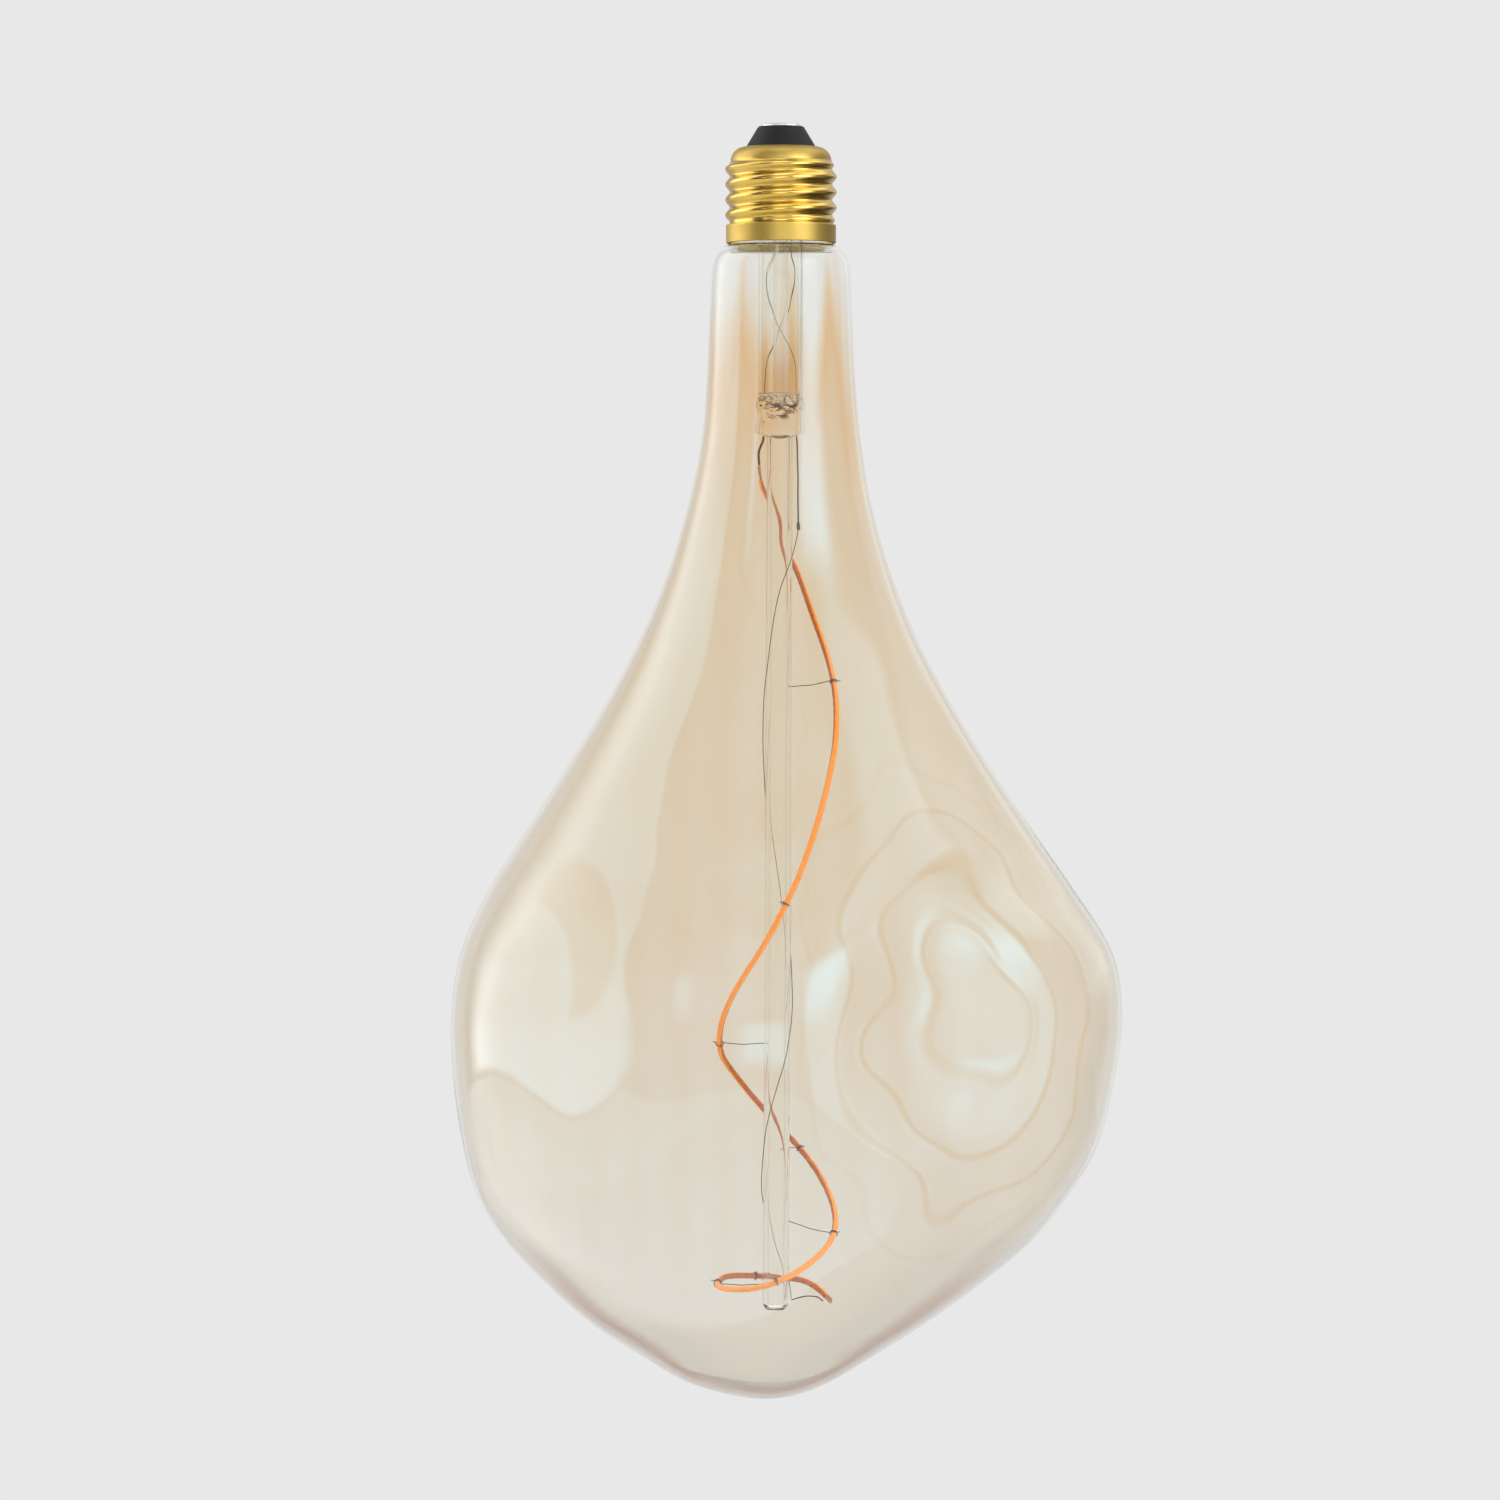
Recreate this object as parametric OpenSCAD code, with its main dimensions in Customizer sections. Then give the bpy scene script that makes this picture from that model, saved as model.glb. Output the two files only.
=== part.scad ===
// Large dented LED filament lamp on an E27 screw cap, in millimetres.
// The origin is the centre of the end contact's face. +Z points out of the cap, and the glass hangs
// below it. Depths are measured down from the origin.

/* [Cap] */
// Radius over the crests of the screw thread
thread_crest_r = 13.15; // [13.05:0.05:13.2]
// Radius in the roots of the screw thread
thread_root_r = 12.1; // [12:0.05:12.2]
// Rise of the screw thread in one turn
thread_pitch = 3.629; // [3.6:0.001:3.65]
// Radius of the smooth skirt under the thread
skirt_r = 12.95; // [12.85:0.05:13]
// Thickness of the rolled brass
shell_wall = 0.4; // [0.3:0.05:0.45]
// Depth of the skirt's rim below the end contact's face
cap_h = 28.1; // [27.9:0.1:28.3]
// Radius of the end contact
contact_r = 4.9; // [4.6:0.1:5.1]

/* [Envelope] */
// Thickness of the blown glass
glass_wall = 1.1; // [0.9:0.1:1.2]
// Facets round the envelope
envelope_facets = 48; // [32:4:52]
// Rings of facets for each row of the outline
envelope_rings = 2; // [1:1:2]

/* [Stem] */
// Lean of the hand-set stem from the cap's axis, in degrees
stem_lean = 0.27; // [0:0.01:0.3]
// Outer radius of the flare tube
flare_r = 5.3; // [5.2:0.1:5.5]
// Outer radius of the support tube
support_r = 3.05; // [2.9:0.05:3.1]
// Wall of the stem's tubes
tube_wall = 0.9; // [0.7:0.1:1]
// Depth of the support tube's lower end below the end contact's face
support_end = 279.2; // [278.8:0.1:282]

/* [Filament] */
// Outer radius of the phosphor coat
coat_r = 0.7; // [0.65:0.05:0.8]
// Rings of the coat's sweep
filament_rings = 80; // [60:1:80]
// Radius of the anchor wires
anchor_wire_r = 0.14; // [0.12:0.01:0.16]
// Radius of the return wire
return_wire_r = 0.13; // [0.1:0.01:0.15]
// Radius of the lead wires
lead_r = 0.22; // [0.2:0.01:0.25]

/* [Driver] */
// Radius of the driver's round board
board_r = 11.5; // [10.8:0.1:11.5]
// Thickness of the driver's board
board_t = 1; // [0.8:0.1:1.2]
// Depth of the board's upper face below the end contact's face
board_top = 12.6; // [12.5:0.1:12.8]

/* [Hidden] */
smooth = 96;
coarse = 32;
gap = 0.02;
overlap = 1;

// Cap
thread_top = 8.8;
thread_crest_depth = 12.43;
thread_rows = 32;
thread_facets = 40;
thread_fade = 1.4;
skirt_h = 4.4;
skirt_bevel = 0.3;
thread_end = cap_h - skirt_h;
shoulder_r = 3.4;
shoulder_inset = 0.2;
shoulder_top = thread_top - shoulder_r - 0.1;
shell_mouth_r = 8.2;
contact_t = 0.6;
contact_bevel = 0.2;
contact_flat_r = contact_r - 0.6;
contact_pin_r = 1.6;
contact_pin_tail = 0.3;
insulator_top_r = contact_r + 0.35;
insulator_bevel = 0.3;
insulator_flange = [8.9, 2.2];
insulator_bottom = shoulder_top + shell_wall + insulator_flange[1] + gap;
cement_top = thread_end + 0.6;

// The envelope's outline: depth, then how far it reaches left, right, front and back
envelope_outline = [
    [21.5, -11.2, 11.2, -11.2, 11.2],
    [24.5, -11.2, 11.2, -11.2, 11.2],
    [27.6, -11.2, 11.2, -11.2, 11.2],
    [28.9, -13.4, 13.4, -13.4, 13.4],
    [31, -15.4, 15.4, -15.4, 15.4],
    [35, -16.4, 16.4, -16.4, 16.4],
    [45, -16.9, 16.9, -16.9, 16.9],
    [60, -17.5, 17.5, -17.5, 17.5],
    [75, -18.8, 18.9, -18.9, 18.8],
    [90, -22, 21.4, -22, 21.5],
    [105, -26.5, 25.6, -26, 26.5],
    [120, -32.7, 31.5, -31.5, 33],
    [135, -40.5, 39.3, -39, 41],
    [150, -49.7, 48.3, -47.5, 50],
    [165, -59.3, 58.4, -57, 60],
    [180, -68.8, 68.8, -66, 69],
    [195, -75.4, 78, -74, 75.5],
    [210, -77.7, 80.3, -77.5, 78.5],
    [225, -77.2, 78.5, -76.5, 78],
    [240, -75.2, 74.7, -73, 75],
    [252, -71.8, 67.8, -68, 69.5],
    [263, -64.8, 58.9, -61, 62],
    [273, -55.3, 47.1, -51, 53],
    [282, -45.2, 34.6, -40, 42],
    [290, -32.7, 22.1, -27, 30],
    [296, -22.4, 12, -17, 19],
    [299.2, -11.5, 3.5, -8, 9],
    [300, -4, -4, 0.5, 0.5],
];
// Dents pressed in the hot glass: direction, depth down the lamp, half width in degrees, half height,
// share of the radius, and how flat the dent's floor is
dents = [
    [301, 210, 21, 30, 0.15, 1.5],
    [226, 214, 15, 22, 0.045, 1.2],
    [264, 262, 26, 20, 0.09, 1.1],
    [262, 158, 26, 24, 0.05, 1.2],
    [325, 160, 16, 24, 0.06, 1.3],
    [318, 247, 16, 13, 0.04, 1.2],
    [208, 243, 18, 13, 0.04, 1.2],
    [52, 192, 20, 28, 0.11, 1.5],
    [128, 214, 20, 30, 0.12, 1.5],
    [90, 262, 30, 20, 0.08, 1.1],
    [152, 168, 16, 22, 0.05, 1.2],
    [32, 243, 18, 16, 0.04, 1.2],
];

// Stem
neck_rim = envelope_outline[0][0];
neck_end = envelope_outline[2][0];
neck_r = envelope_outline[0][2];
neck_fit = 0.1;
flare_curve_r = 4.6;
press_top = 63.5;
press_bottom = 73.5;
press_half = [5.6, 2.6];
press_flat = 4;
press_collar = 0.2;
press_foot = [press_half[1] - 0.4, 1];
seal_x = 3.9;
seal_end = 0.05;
exhaust_r = 1.7;
exhaust_wall = 0.55;
exhaust_tip = 18.6;
exhaust_taper = 1.6 * exhaust_r;
exhaust_nip_r = 0.5;
exhaust_nip_t = 1;
support_bend = 1.2;
support_seat = 0.5;

// Wires
outer_lead_r = 0.14;
sleeve_r = 0.4;
sleeve_bore_r = 0.2;
inner_right_r = 0.8 * lead_r;
crimp = [[4.4, 0, 94.05], [4.5, 0.2, 95.6]];
crimp_r = 0.42;
tie_r = 0.17;

// Routes of the wires, as [x, y, depth]
left_lead_route = [
    [-3.2, -0.6, 13.7], [-3.0, -1.2, 20], [-0.9, -2.2, 28], [-3.0, -2.4, 35], [-2.7, -2.5, 41],
    [-0.4, -2.6, 48], [2.6, -2.2, 54], [3.7, -0.9, 59], [3.85, 0, 63.4],
];
right_lead_route = [
    [3.4, 0.8, 13.7], [3.0, 1.6, 20], [2.5, 1.9, 29], [3.5, 1.6, 35.5], [2.2, 2.3, 43],
    [-0.4, 2.6, 48], [-2.4, 2.2, 53.5], [-3.6, 0.9, 58], [-3.85, 0, 63.4],
];
inner_left_route = [
    [-3.9, 0, 73.6], [-3.95, 0, 74.6], [-4.6, 0.1, 76.2], [-5, 0.3, 77.7], [-4.85, 0.2, 78.9],
];
inner_right_route = [[3.9, 0, 73.6], [4.1, 0, 76], [4.3, 0, 85], [4.4, 0, 94]];
tie_route = [
    [3.75, -1.1, 276.7], [5.2, -0.6, 276.2], [7.6, 1.6, 275.9], [9.8, 3.6, 276.2], [11.3, 4.4, 277.4],
];
// Routes wound round the support tube, as [turn, radius, depth], clockwise as seen from above
filament_route = [
    [-82, 4.7, 82.6], [-5, 5.6, 92], [6, 7, 98.7], [28, 9.2, 105.5], [48, 11.7, 117.5], [72, 13.3, 130],
    [97, 13.7, 142.5], [122, 13.8, 155], [144, 13.8, 168], [167, 13.8, 181], [195, 13.8, 193.5],
    [230, 13.7, 205], [273, 13.6, 216.5], [315, 13.8, 224.5], [360, 13.8, 236], [402, 13.6, 246.5],
    [447, 13.9, 257.5], [495, 13.8, 266], [550, 13.8, 272.4], [607, 13.7, 273.5], [663, 13.7, 271.7],
    [720, 13.8, 272.2], [752, 13.9, 273.2], [782, 13.8, 276.4],
];
return_route = [
    [90, 4.4, 95.7], [130, 3.9, 102], [180, 3.6, 111], [225, 3.5, 125], [270, 3.6, 145], [308, 3.5, 162],
    [360, 3.4, 177], [410, 3.4, 192], [450, 3.5, 206], [498, 3.5, 218], [540, 3.5, 227], [590, 3.5, 238],
    [630, 3.6, 249], [680, 3.5, 257], [725, 3.5, 265], [775, 3.5, 271], [808, 3.7, 276.4],
];
// Each anchor wire: the station of the filament's route that it holds, and how far its root drops below
anchors = [[5.1, 1.4], [9.2, 0], [12, 0], [14.55, 0], [16.35, -2.8], [17.8, 0], [19.4, 0], [20.6, 0]];

// Filament
channel = [0.42, 0.28];
strip = [0.8, 0.16];
chip = [0.42, 0.26, 1.4];
terminal = [1.2, 0.5, 2.4];

// Driver: centres are [x, y], and sizes are [x, y, z] or [radius, length]
board_bottom = board_top + board_t;
board_holes = [[-3.2, -0.6], [3.4, 0.8], [5.6, 3.2], [-7.6, -2.2]];
board_hole_r = 0.45;
leg = [0.4, 0.7, 0.4];
bridge_place = [-4.4, 3.9];
bridge_size = [4.7, 3.8, 2.5];
driver_chip_place = [4.6, -3.2];
driver_chip_size = [4.9, 3.9, 1.6];
resistor_place = [-3.4, -4.6];
resistor_body = [1.15, 4.4];
resistor_cap = [1.3, 1];
capacitor_place = [-3.2, 5.3];
capacitor_can = [2, 7];
capacitor_plug = [1.85, 0.6];
choke_place = [6.3, 0.6];
choke_flange = [2.1, 0.7];
choke_core_r = 1.5;
choke_h = 4;
radio_corner = [-6.1, -7.4];
radio_size = [12, 4.6, 0.8];
radio_seat = 0.1;
shield_size = [7, 3.6, 1.58];
shield_inset = 0.5;
aerial_place = [3.9, -5.1];
aerial_h = 4.6;
aerial_r = 0.25;
live_r = 0.35;
neutral_r = 0.3;
live_route = [
    [0, 0, insulator_bottom + contact_pin_tail + 0.05], [0.4, 0.3, 9.4], [2.8, 1.8, 10.2],
    [5, 3, 11], [5.6, 3.2, 12.2], [5.6, 3.2, 13.4],
];
neutral_route = [
    [-7.6, -2.2, 13.4], [-7.6, -2.2, 12.2], [-8.2, -2.1, 11.2], [-10, -1.2, 10.8], [-10.9, -0.6, 11.4],
];
solder_place = [-10.95, -0.5, -11.9];
solder_r = 0.5;

// Catmull-Rom value a share t of the way from b to c
function between(a, b, c, d, t) =
    b + t / 2 * ((c - a) + t * ((2 * a - 5 * b + 4 * c - d) + t * (3 * (b - c) + d - a)));

// A table's row at the fractional index u
function station(table, u) =
    let (last = len(table) - 1, i = min(floor(u), last), t = u - i)
    between(table[max(i - 1, 0)], table[i], table[min(i + 1, last)], table[min(i + 2, last)], t);

function unit(v) = v / norm(v);
function down(p) = [p[0], p[1], -p[2]];
function around(s) = [s[1] * sin(s[0]), s[1] * cos(s[0]), -s[2]];
function angle_apart(a, b) = abs((a - b + 540) % 360 - 180);
function total(values, i = 0) = i < len(values) ? values[i] + total(values, i + 1) : 0;

// Points along a route, with a given number of rings
function along(route, rings) = [for (i = [0:rings - 1]) station(route, i * (len(route) - 1) / (rings - 1))];
function tangent(path, i) = unit(path[min(i + 1, len(path) - 1)] - path[max(i - 1, 0)]);
function across(t, side) = unit(side - (side * t) * t);

// One ring of a sweep: the section's first axis lies along side, as near as the tangent allows
function sweep_ring(centre, t, side, section) =
    let (n = across(t, side), b = cross(t, n))
    [for (p = section) centre + p[0] * n + p[1] * b];
function flat_list(lists) = [for (l = lists) each l];
function circle_point(r, k, sides) = r * [cos(360 * k / sides), sin(360 * k / sides)];
function round_section(r, sides) = [for (k = [0:sides - 1]) circle_point(r, k, sides)];

// Triangles between rings of n points, wound for a surface that is seen from outside, or from inside
// when turned
function skin(rings, n, first = 0, turned = false) =
    [for (i = [0:rings - 2], k = [0:n - 1])
        let (a = first + i * n + k, b = first + i * n + (k + 1) % n)
        each turned ? [[a, b, b + n], [a, b + n, a + n]] : [[a, a + n, b + n], [a, b + n, b]]];

// Solid sweep of a section along a path. sides holds the side direction at each point.
module sweep(path, section, sides) {
    n = len(section);
    rings = len(path);
    points = flat_list([for (i = [0:rings - 1]) sweep_ring(path[i], tangent(path, i), sides[i], section)]);
    ends = [[for (k = [0:n - 1]) k], [for (k = [n - 1:-1:0]) (rings - 1) * n + k]];
    polyhedron(points = points, faces = concat(skin(rings, n), ends), convexity = 10);
}

// Hollow sweep: the section and its channel have the same number of points
module hollow_sweep(path, section, hole, sides) {
    n = len(section);
    rings = len(path);
    count = rings * n;
    outer = [for (i = [0:rings - 1]) sweep_ring(path[i], tangent(path, i), sides[i], section)];
    inner = [for (i = [0:rings - 1]) sweep_ring(path[i], tangent(path, i), sides[i], hole)];
    start = [for (k = [0:n - 1]) [k, (k + 1) % n, count + (k + 1) % n, count + k]];
    finish = [for (face = start) [for (i = [3:-1:0]) face[i] + count - n]];
    polyhedron(
        points = concat(flat_list(outer), flat_list(inner)),
        faces = concat(skin(rings, n), skin(rings, n, count, true), start, finish),
        convexity = 10
    );
}

// Round wire along a route of [x, y, depth] points
module wire(route, r, rings, side = [0, 1, 0]) {
    path = [for (p = along(route, rings)) down(p)];
    sweep(path, round_section(r, 8), [for (p = path) side]);
}

// Round bar from one point to another
module bar(from, to, r) {
    v = to - from;
    translate(from) rotate([0, acos(v[2] / norm(v)), atan2(v[1], v[0])])
        cylinder(r = r, h = norm(v), $fn = smooth);
}

// Tube from one depth to a greater one
module tube(r, wall, top, bottom) {
    translate([0, 0, -bottom]) difference() {
        cylinder(r = r, h = bottom - top, $fn = smooth);
        translate([0, 0, -overlap]) cylinder(r = r - wall, h = bottom - top + 2 * overlap, $fn = smooth);
    }
}

// What is fixed to the stem leans with it
module leaning() {
    translate([0, 0, -neck_rim]) rotate([0, stem_lean, 0]) translate([0, 0, neck_rim]) children();
}

// Cap
function thread_lift(depth, angle) =
    let (
        wave = (1 + cos(360 * (thread_crest_depth - depth) / thread_pitch - angle)) / 2,
        near_end = min(depth - thread_top, thread_end - depth)
    )
    wave * min(1, near_end / thread_fade);

module thread_wall() {
    n = thread_facets;
    radii = [for (offset = [0, -shell_wall])
        [for (i = [0:thread_rows], k = [0:n - 1])
            let (depth = thread_top + i * (thread_end - thread_top) / thread_rows, angle = 360 * k / n)
            let (r = thread_root_r + offset + (thread_crest_r - thread_root_r) * thread_lift(depth, angle))
            [r * cos(angle), r * sin(angle), -depth]]];
    count = (thread_rows + 1) * n;
    top = [for (k = [0:n - 1]) [k, count + k, count + (k + 1) % n, (k + 1) % n]];
    bottom = [for (face = top) [for (i = [3:-1:0]) face[i] + count - n]];
    polyhedron(
        points = concat(radii[0], radii[1]),
        faces = concat(skin(thread_rows + 1, n, 0, true), skin(thread_rows + 1, n, count), top, bottom),
        convexity = 10
    );
}

module shell_shoulder() {
    outer = thread_root_r - shoulder_inset;
    middle = [outer - shoulder_r, -thread_top];
    rotate_extrude($fn = smooth) polygon(concat(
        [[outer, -thread_top - shell_wall]],
        [for (a = [0:9:90]) middle + shoulder_r * [cos(a), sin(a)]],
        [[shell_mouth_r, shoulder_r - thread_top], [shell_mouth_r, shoulder_r - shell_wall - thread_top]],
        [for (a = [90:-9:0]) middle + (shoulder_r - shell_wall) * [cos(a), sin(a)]],
        [[outer - shell_wall, -thread_top - shell_wall]]
    ));
}

module cap_shell() {
    color("goldenrod") {
        thread_wall();
        shell_shoulder();
        rotate_extrude($fn = smooth) polygon([
            [skirt_r, -thread_end - skirt_bevel], [skirt_r, -cap_h], [skirt_r - shell_wall, -cap_h],
            [skirt_r - shell_wall, -thread_end - shell_wall],
            [thread_root_r - skirt_bevel, -thread_end - shell_wall],
            [thread_root_r - skirt_bevel, -thread_end], [skirt_r - skirt_bevel, -thread_end],
        ]);
    }
}

module cap_insulator() {
    lip = shell_mouth_r - gap;
    seat = thread_top - shoulder_r + shell_wall + gap;
    color("black") rotate_extrude($fn = smooth) polygon([
        [contact_pin_r + gap, -contact_t], [insulator_top_r, -contact_t],
        [insulator_top_r + insulator_bevel, -contact_t - insulator_bevel],
        [lip, -shoulder_top], [lip, -seat], [insulator_flange[0], -seat],
        [insulator_flange[0], -insulator_bottom], [contact_pin_r + gap, -insulator_bottom],
    ]);
}

module centre_contact() {
    tail = insulator_bottom + contact_pin_tail;
    color("silver") rotate_extrude($fn = smooth) polygon([
        [0, 0], [contact_flat_r, 0], [contact_r - contact_bevel, -contact_bevel], [contact_r, -contact_t],
        [contact_pin_r, -contact_t], [contact_pin_r, -tail], [0, -tail],
    ]);
}

module capping_cement() {
    outer = skirt_r - shell_wall - gap;
    color("tan") tube(outer, outer - neck_r - gap, cement_top, neck_end);
}

// Envelope
envelope_mirrored = envelope_outline[len(envelope_outline) - 2];
envelope_stations = concat(envelope_outline, [[for (i = [0, 2, 1, 4, 3]) envelope_mirrored[i]]]);
envelope_rows = (len(envelope_outline) - 1) * envelope_rings;

function dent_share(angle, depth) = total([for (d = dents)
    let (away = norm([angle_apart(angle, d[0]) / d[2], (depth - d[1]) / d[3]]))
    d[4] * exp(-pow(away, 2 * d[5]))]);

function envelope_point(u, angle) =
    let (
        s = station(envelope_stations, u),
        keep = (1 - dent_share(angle, s[0])) / 2
    )
    [
        (s[1] + s[2]) / 2 + (s[2] - s[1]) * keep * cos(angle),
        (s[3] + s[4]) / 2 + (s[4] - s[3]) * keep * sin(angle),
        -s[0],
    ];

// The inner surface's point: the outer one moved in along the surface's normal
function envelope_lining(u, angle) =
    let (
        round_it = envelope_point(u, angle + 2) - envelope_point(u, angle - 2),
        down_it = envelope_point(u + 0.1, angle) - envelope_point(max(u - 0.1, 0), angle)
    )
    envelope_point(u, angle) + glass_wall * unit(cross(round_it, down_it));

module glass_envelope() {
    n = envelope_facets;
    count = envelope_rows * n;
    steps = [for (i = [0:envelope_rows - 1], k = [0:n - 1]) [i / envelope_rings, 360 * k / n]];
    outer = [for (s = steps) envelope_point(s[0], s[1])];
    inner = [for (s = steps) s[0] == 0
        ? envelope_point(0, s[1]) - glass_wall * [cos(s[1]), sin(s[1]), 0]
        : envelope_lining(s[0], s[1])];
    pole = envelope_point(len(envelope_outline) - 1, 0);
    last = count - n;
    rim = [for (k = [0:n - 1]) [k, count + 1 + k, count + 1 + (k + 1) % n, (k + 1) % n]];
    outer_pole = [for (k = [0:n - 1]) [last + k, last + (k + 1) % n, count]];
    inner_pole = [for (face = outer_pole) [for (i = [1, 0, 2]) face[i] + count + 1]];
    color("wheat", 0.4) polyhedron(
        points = concat(outer, [pole], inner, [pole + [0, 0, glass_wall]]),
        faces = concat(
            skin(envelope_rows, n, 0, true), outer_pole,
            skin(envelope_rows, n, count + 1), inner_pole, rim
        ),
        convexity = 10
    );
}

// Stem
module stem_flare() {
    bore = flare_r - tube_wall;
    curve = flare_curve_r;
    middle = [flare_r + curve, -neck_rim - curve];
    inside = curve + tube_wall;
    color("white", 0.4) leaning() rotate_extrude($fn = smooth) polygon(concat(
        [[flare_r, -press_top]],
        [for (a = [180:-10:90]) middle + curve * [cos(a), sin(a)]],
        [[neck_r - neck_fit, -neck_rim], [neck_r - neck_fit, -neck_rim + tube_wall]],
        [for (a = [90:10:180]) middle + inside * [cos(a), sin(a)]],
        [[bore, -press_top]]
    ));
}

module exhaust_tube() {
    h = press_top - exhaust_tip;
    bore = exhaust_r - exhaust_wall;
    color("white", 0.4) leaning() translate([0, 0, -press_top]) rotate_extrude($fn = smooth) polygon([
        [exhaust_r, gap], [exhaust_r, h - exhaust_taper], [exhaust_nip_r, h], [0, h],
        [0, h - exhaust_nip_t], [bore, h - exhaust_taper - bore / 4], [bore, gap],
    ]);
}

module stem_press() {
    side = press_half[0] - press_half[1];
    color("white", 0.4) leaning() difference() {
        hull() {
            translate([0, 0, -press_top - press_collar])
                cylinder(r = flare_r, h = press_collar - gap, $fn = coarse);
            for (x = [-side, side]) {
                translate([x, 0, -press_top - press_flat]) sphere(r = press_half[1], $fn = coarse);
                translate([x, 0, -press_bottom])
                    cylinder(r = press_foot[0], h = press_foot[1], $fn = coarse);
            }
        }
        for (x = [-seal_x, seal_x]) translate([x, 0, -press_bottom - overlap])
            cylinder(r = lead_r, h = press_bottom - press_top + 2 * overlap, $fn = smooth);
    }
}

// The tube's lower end is closed and rounded
module support_tube() {
    inner = support_r - tube_wall;
    bend = support_bend;
    floor_z = tube_wall - support_end;
    color("white", 0.4) leaning() rotate_extrude($fn = smooth) polygon(concat(
        [[inner, -press_bottom - gap], [support_r, -press_bottom - gap]],
        [for (a = [0:-15:-90]) [support_r - bend + bend * cos(a), bend - support_end + bend * sin(a)]],
        [[0, -support_end], [0, floor_z], [inner - support_seat, floor_z], [inner, floor_z + support_seat]]
    ));
}

module seal_wires() {
    color("firebrick") leaning() for (x = [-seal_x, seal_x]) translate([x, 0, -press_bottom])
        cylinder(r = lead_r - gap / 2, h = press_bottom - press_top - seal_end, $fn = smooth);
}

module outer_lead_left() color("dimgray") leaning() wire(left_lead_route, outer_lead_r, 25);
module outer_lead_right() color("dimgray") leaning() wire(right_lead_route, outer_lead_r, 25);

// White sleeve over the left lead where it leaves the board
module lead_sleeve() {
    route = [for (i = [0:3]) left_lead_route[i]];
    path = [for (p = along(route, 13)) down(p)];
    sides = [for (p = path) [0, 1, 0]];
    color("white") leaning()
        hollow_sweep(path, round_section(sleeve_r, 8), round_section(sleeve_bore_r, 8), sides);
}

module inner_lead_left() color("dimgray") leaning() wire(inner_left_route, lead_r, 13);
module inner_lead_right() color("dimgray") leaning() wire(inner_right_route, inner_right_r, 10);

module lead_crimp() color("dimgray") leaning() bar(down(crimp[0]), down(crimp[1]), crimp_r);

module return_wire() {
    path = [for (s = along(return_route, 62)) around(s)];
    sides = [for (p = path) [p[0], p[1], 0]];
    color("dimgray") leaning() sweep(path, round_section(return_wire_r, 6), sides);
}

module bottom_tie() color("dimgray") leaning() wire(tie_route, tie_r, 12);

// Filament
filament_path = [for (s = along(filament_route, filament_rings)) around(s)];
filament_sides = [for (p = filament_path) [p[0], p[1], 0]];
channel_section = [
    [channel[1], 0], [channel[1], channel[0]], [0, channel[0]], [-channel[1], channel[0]],
    [-channel[1], 0], [-channel[1], -channel[0]], [0, -channel[0]], [channel[1], -channel[0]],
];

// Places children at a point of the filament, with Z along it and X away from the stem
module on_filament(centre, t, side) {
    n = across(t, side);
    b = cross(t, n);
    multmatrix([
        [n[0], b[0], t[0], centre[0]],
        [n[1], b[1], t[1], centre[1]],
        [n[2], b[2], t[2], centre[2]],
        [0, 0, 0, 1],
    ]) children();
}

module filament_coat() {
    color("darkorange") leaning()
        hollow_sweep(filament_path, round_section(coat_r, 8), channel_section, filament_sides);
}

module filament_strip() {
    low = -channel[1] + gap;
    high = low + strip[1];
    half = strip[0] / 2;
    section = [[high, half], [low, half], [low, -half], [high, -half]];
    color("peru") leaning() sweep(filament_path, section, filament_sides);
}

module filament_chips() {
    low = -channel[1] + strip[1] + 2 * gap;
    color("steelblue") leaning() for (i = [0:filament_rings - 2]) {
        middle = (filament_path[i] + filament_path[i + 1]) / 2;
        on_filament(middle, unit(filament_path[i + 1] - filament_path[i]), filament_sides[i])
            translate([low, -chip[0] / 2, -chip[2] / 2]) cube([chip[1], chip[0], chip[2]]);
    }
}

// Metal end of the filament, which runs out of the coat
module filament_end(i, way) {
    on_filament(filament_path[i], way * tangent(filament_path, i), filament_sides[i])
        translate([-terminal[1] / 2, -terminal[0] / 2, gap]) cube([terminal[1], terminal[0], terminal[2]]);
}

module top_terminal() color("silver") leaning() filament_end(0, -1);
module bottom_terminal() color("silver") leaning() filament_end(filament_rings - 1, 1);

// A wire set in the support tube, with an eye round the filament
module anchor(i) {
    u = anchors[i][0];
    s = station(filament_route, u);
    centre = around(s);
    t = unit(around(station(filament_route, u + 0.05)) - around(station(filament_route, u - 0.05)));
    out = [sin(s[0]), cos(s[0]), 0];
    eye_r = coat_r + anchor_wire_r + 0.04;
    root = (support_r + gap) * out + [0, 0, centre[2] - anchors[i][1]];
    n = across(t, out);
    color("dimgray") leaning() {
        bar(root, centre - eye_r * n, anchor_wire_r);
        on_filament(centre, t, out) rotate_extrude($fn = smooth) translate([eye_r, 0])
            circle(r = anchor_wire_r - gap, $fn = coarse);
    }
}

// Driver
module driver_board() {
    color("darkgreen") translate([0, 0, -board_bottom]) difference() {
        cylinder(r = board_r, h = board_t, $fn = smooth);
        for (p = board_holes) translate([p[0], p[1], -overlap])
            cylinder(r = board_hole_r, h = board_t + 2 * overlap, $fn = coarse);
    }
}

// A box body on the board's upper face, with two rows of legs
module surface_part(centre, size, legs) {
    pitch = size[0] / legs;
    body_seat = 0.1;
    translate([centre[0], centre[1], -board_top]) {
        translate([-size[0] / 2, -size[1] / 2, body_seat]) cube([size[0], size[1], size[2] - body_seat]);
        for (i = [0:legs - 1], y = [-size[1] / 2, size[1] / 2 + leg[1]])
            translate([(i - (legs - 1) / 2) * pitch - leg[0] / 2, y - leg[1], gap]) cube(leg);
    }
}

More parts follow.
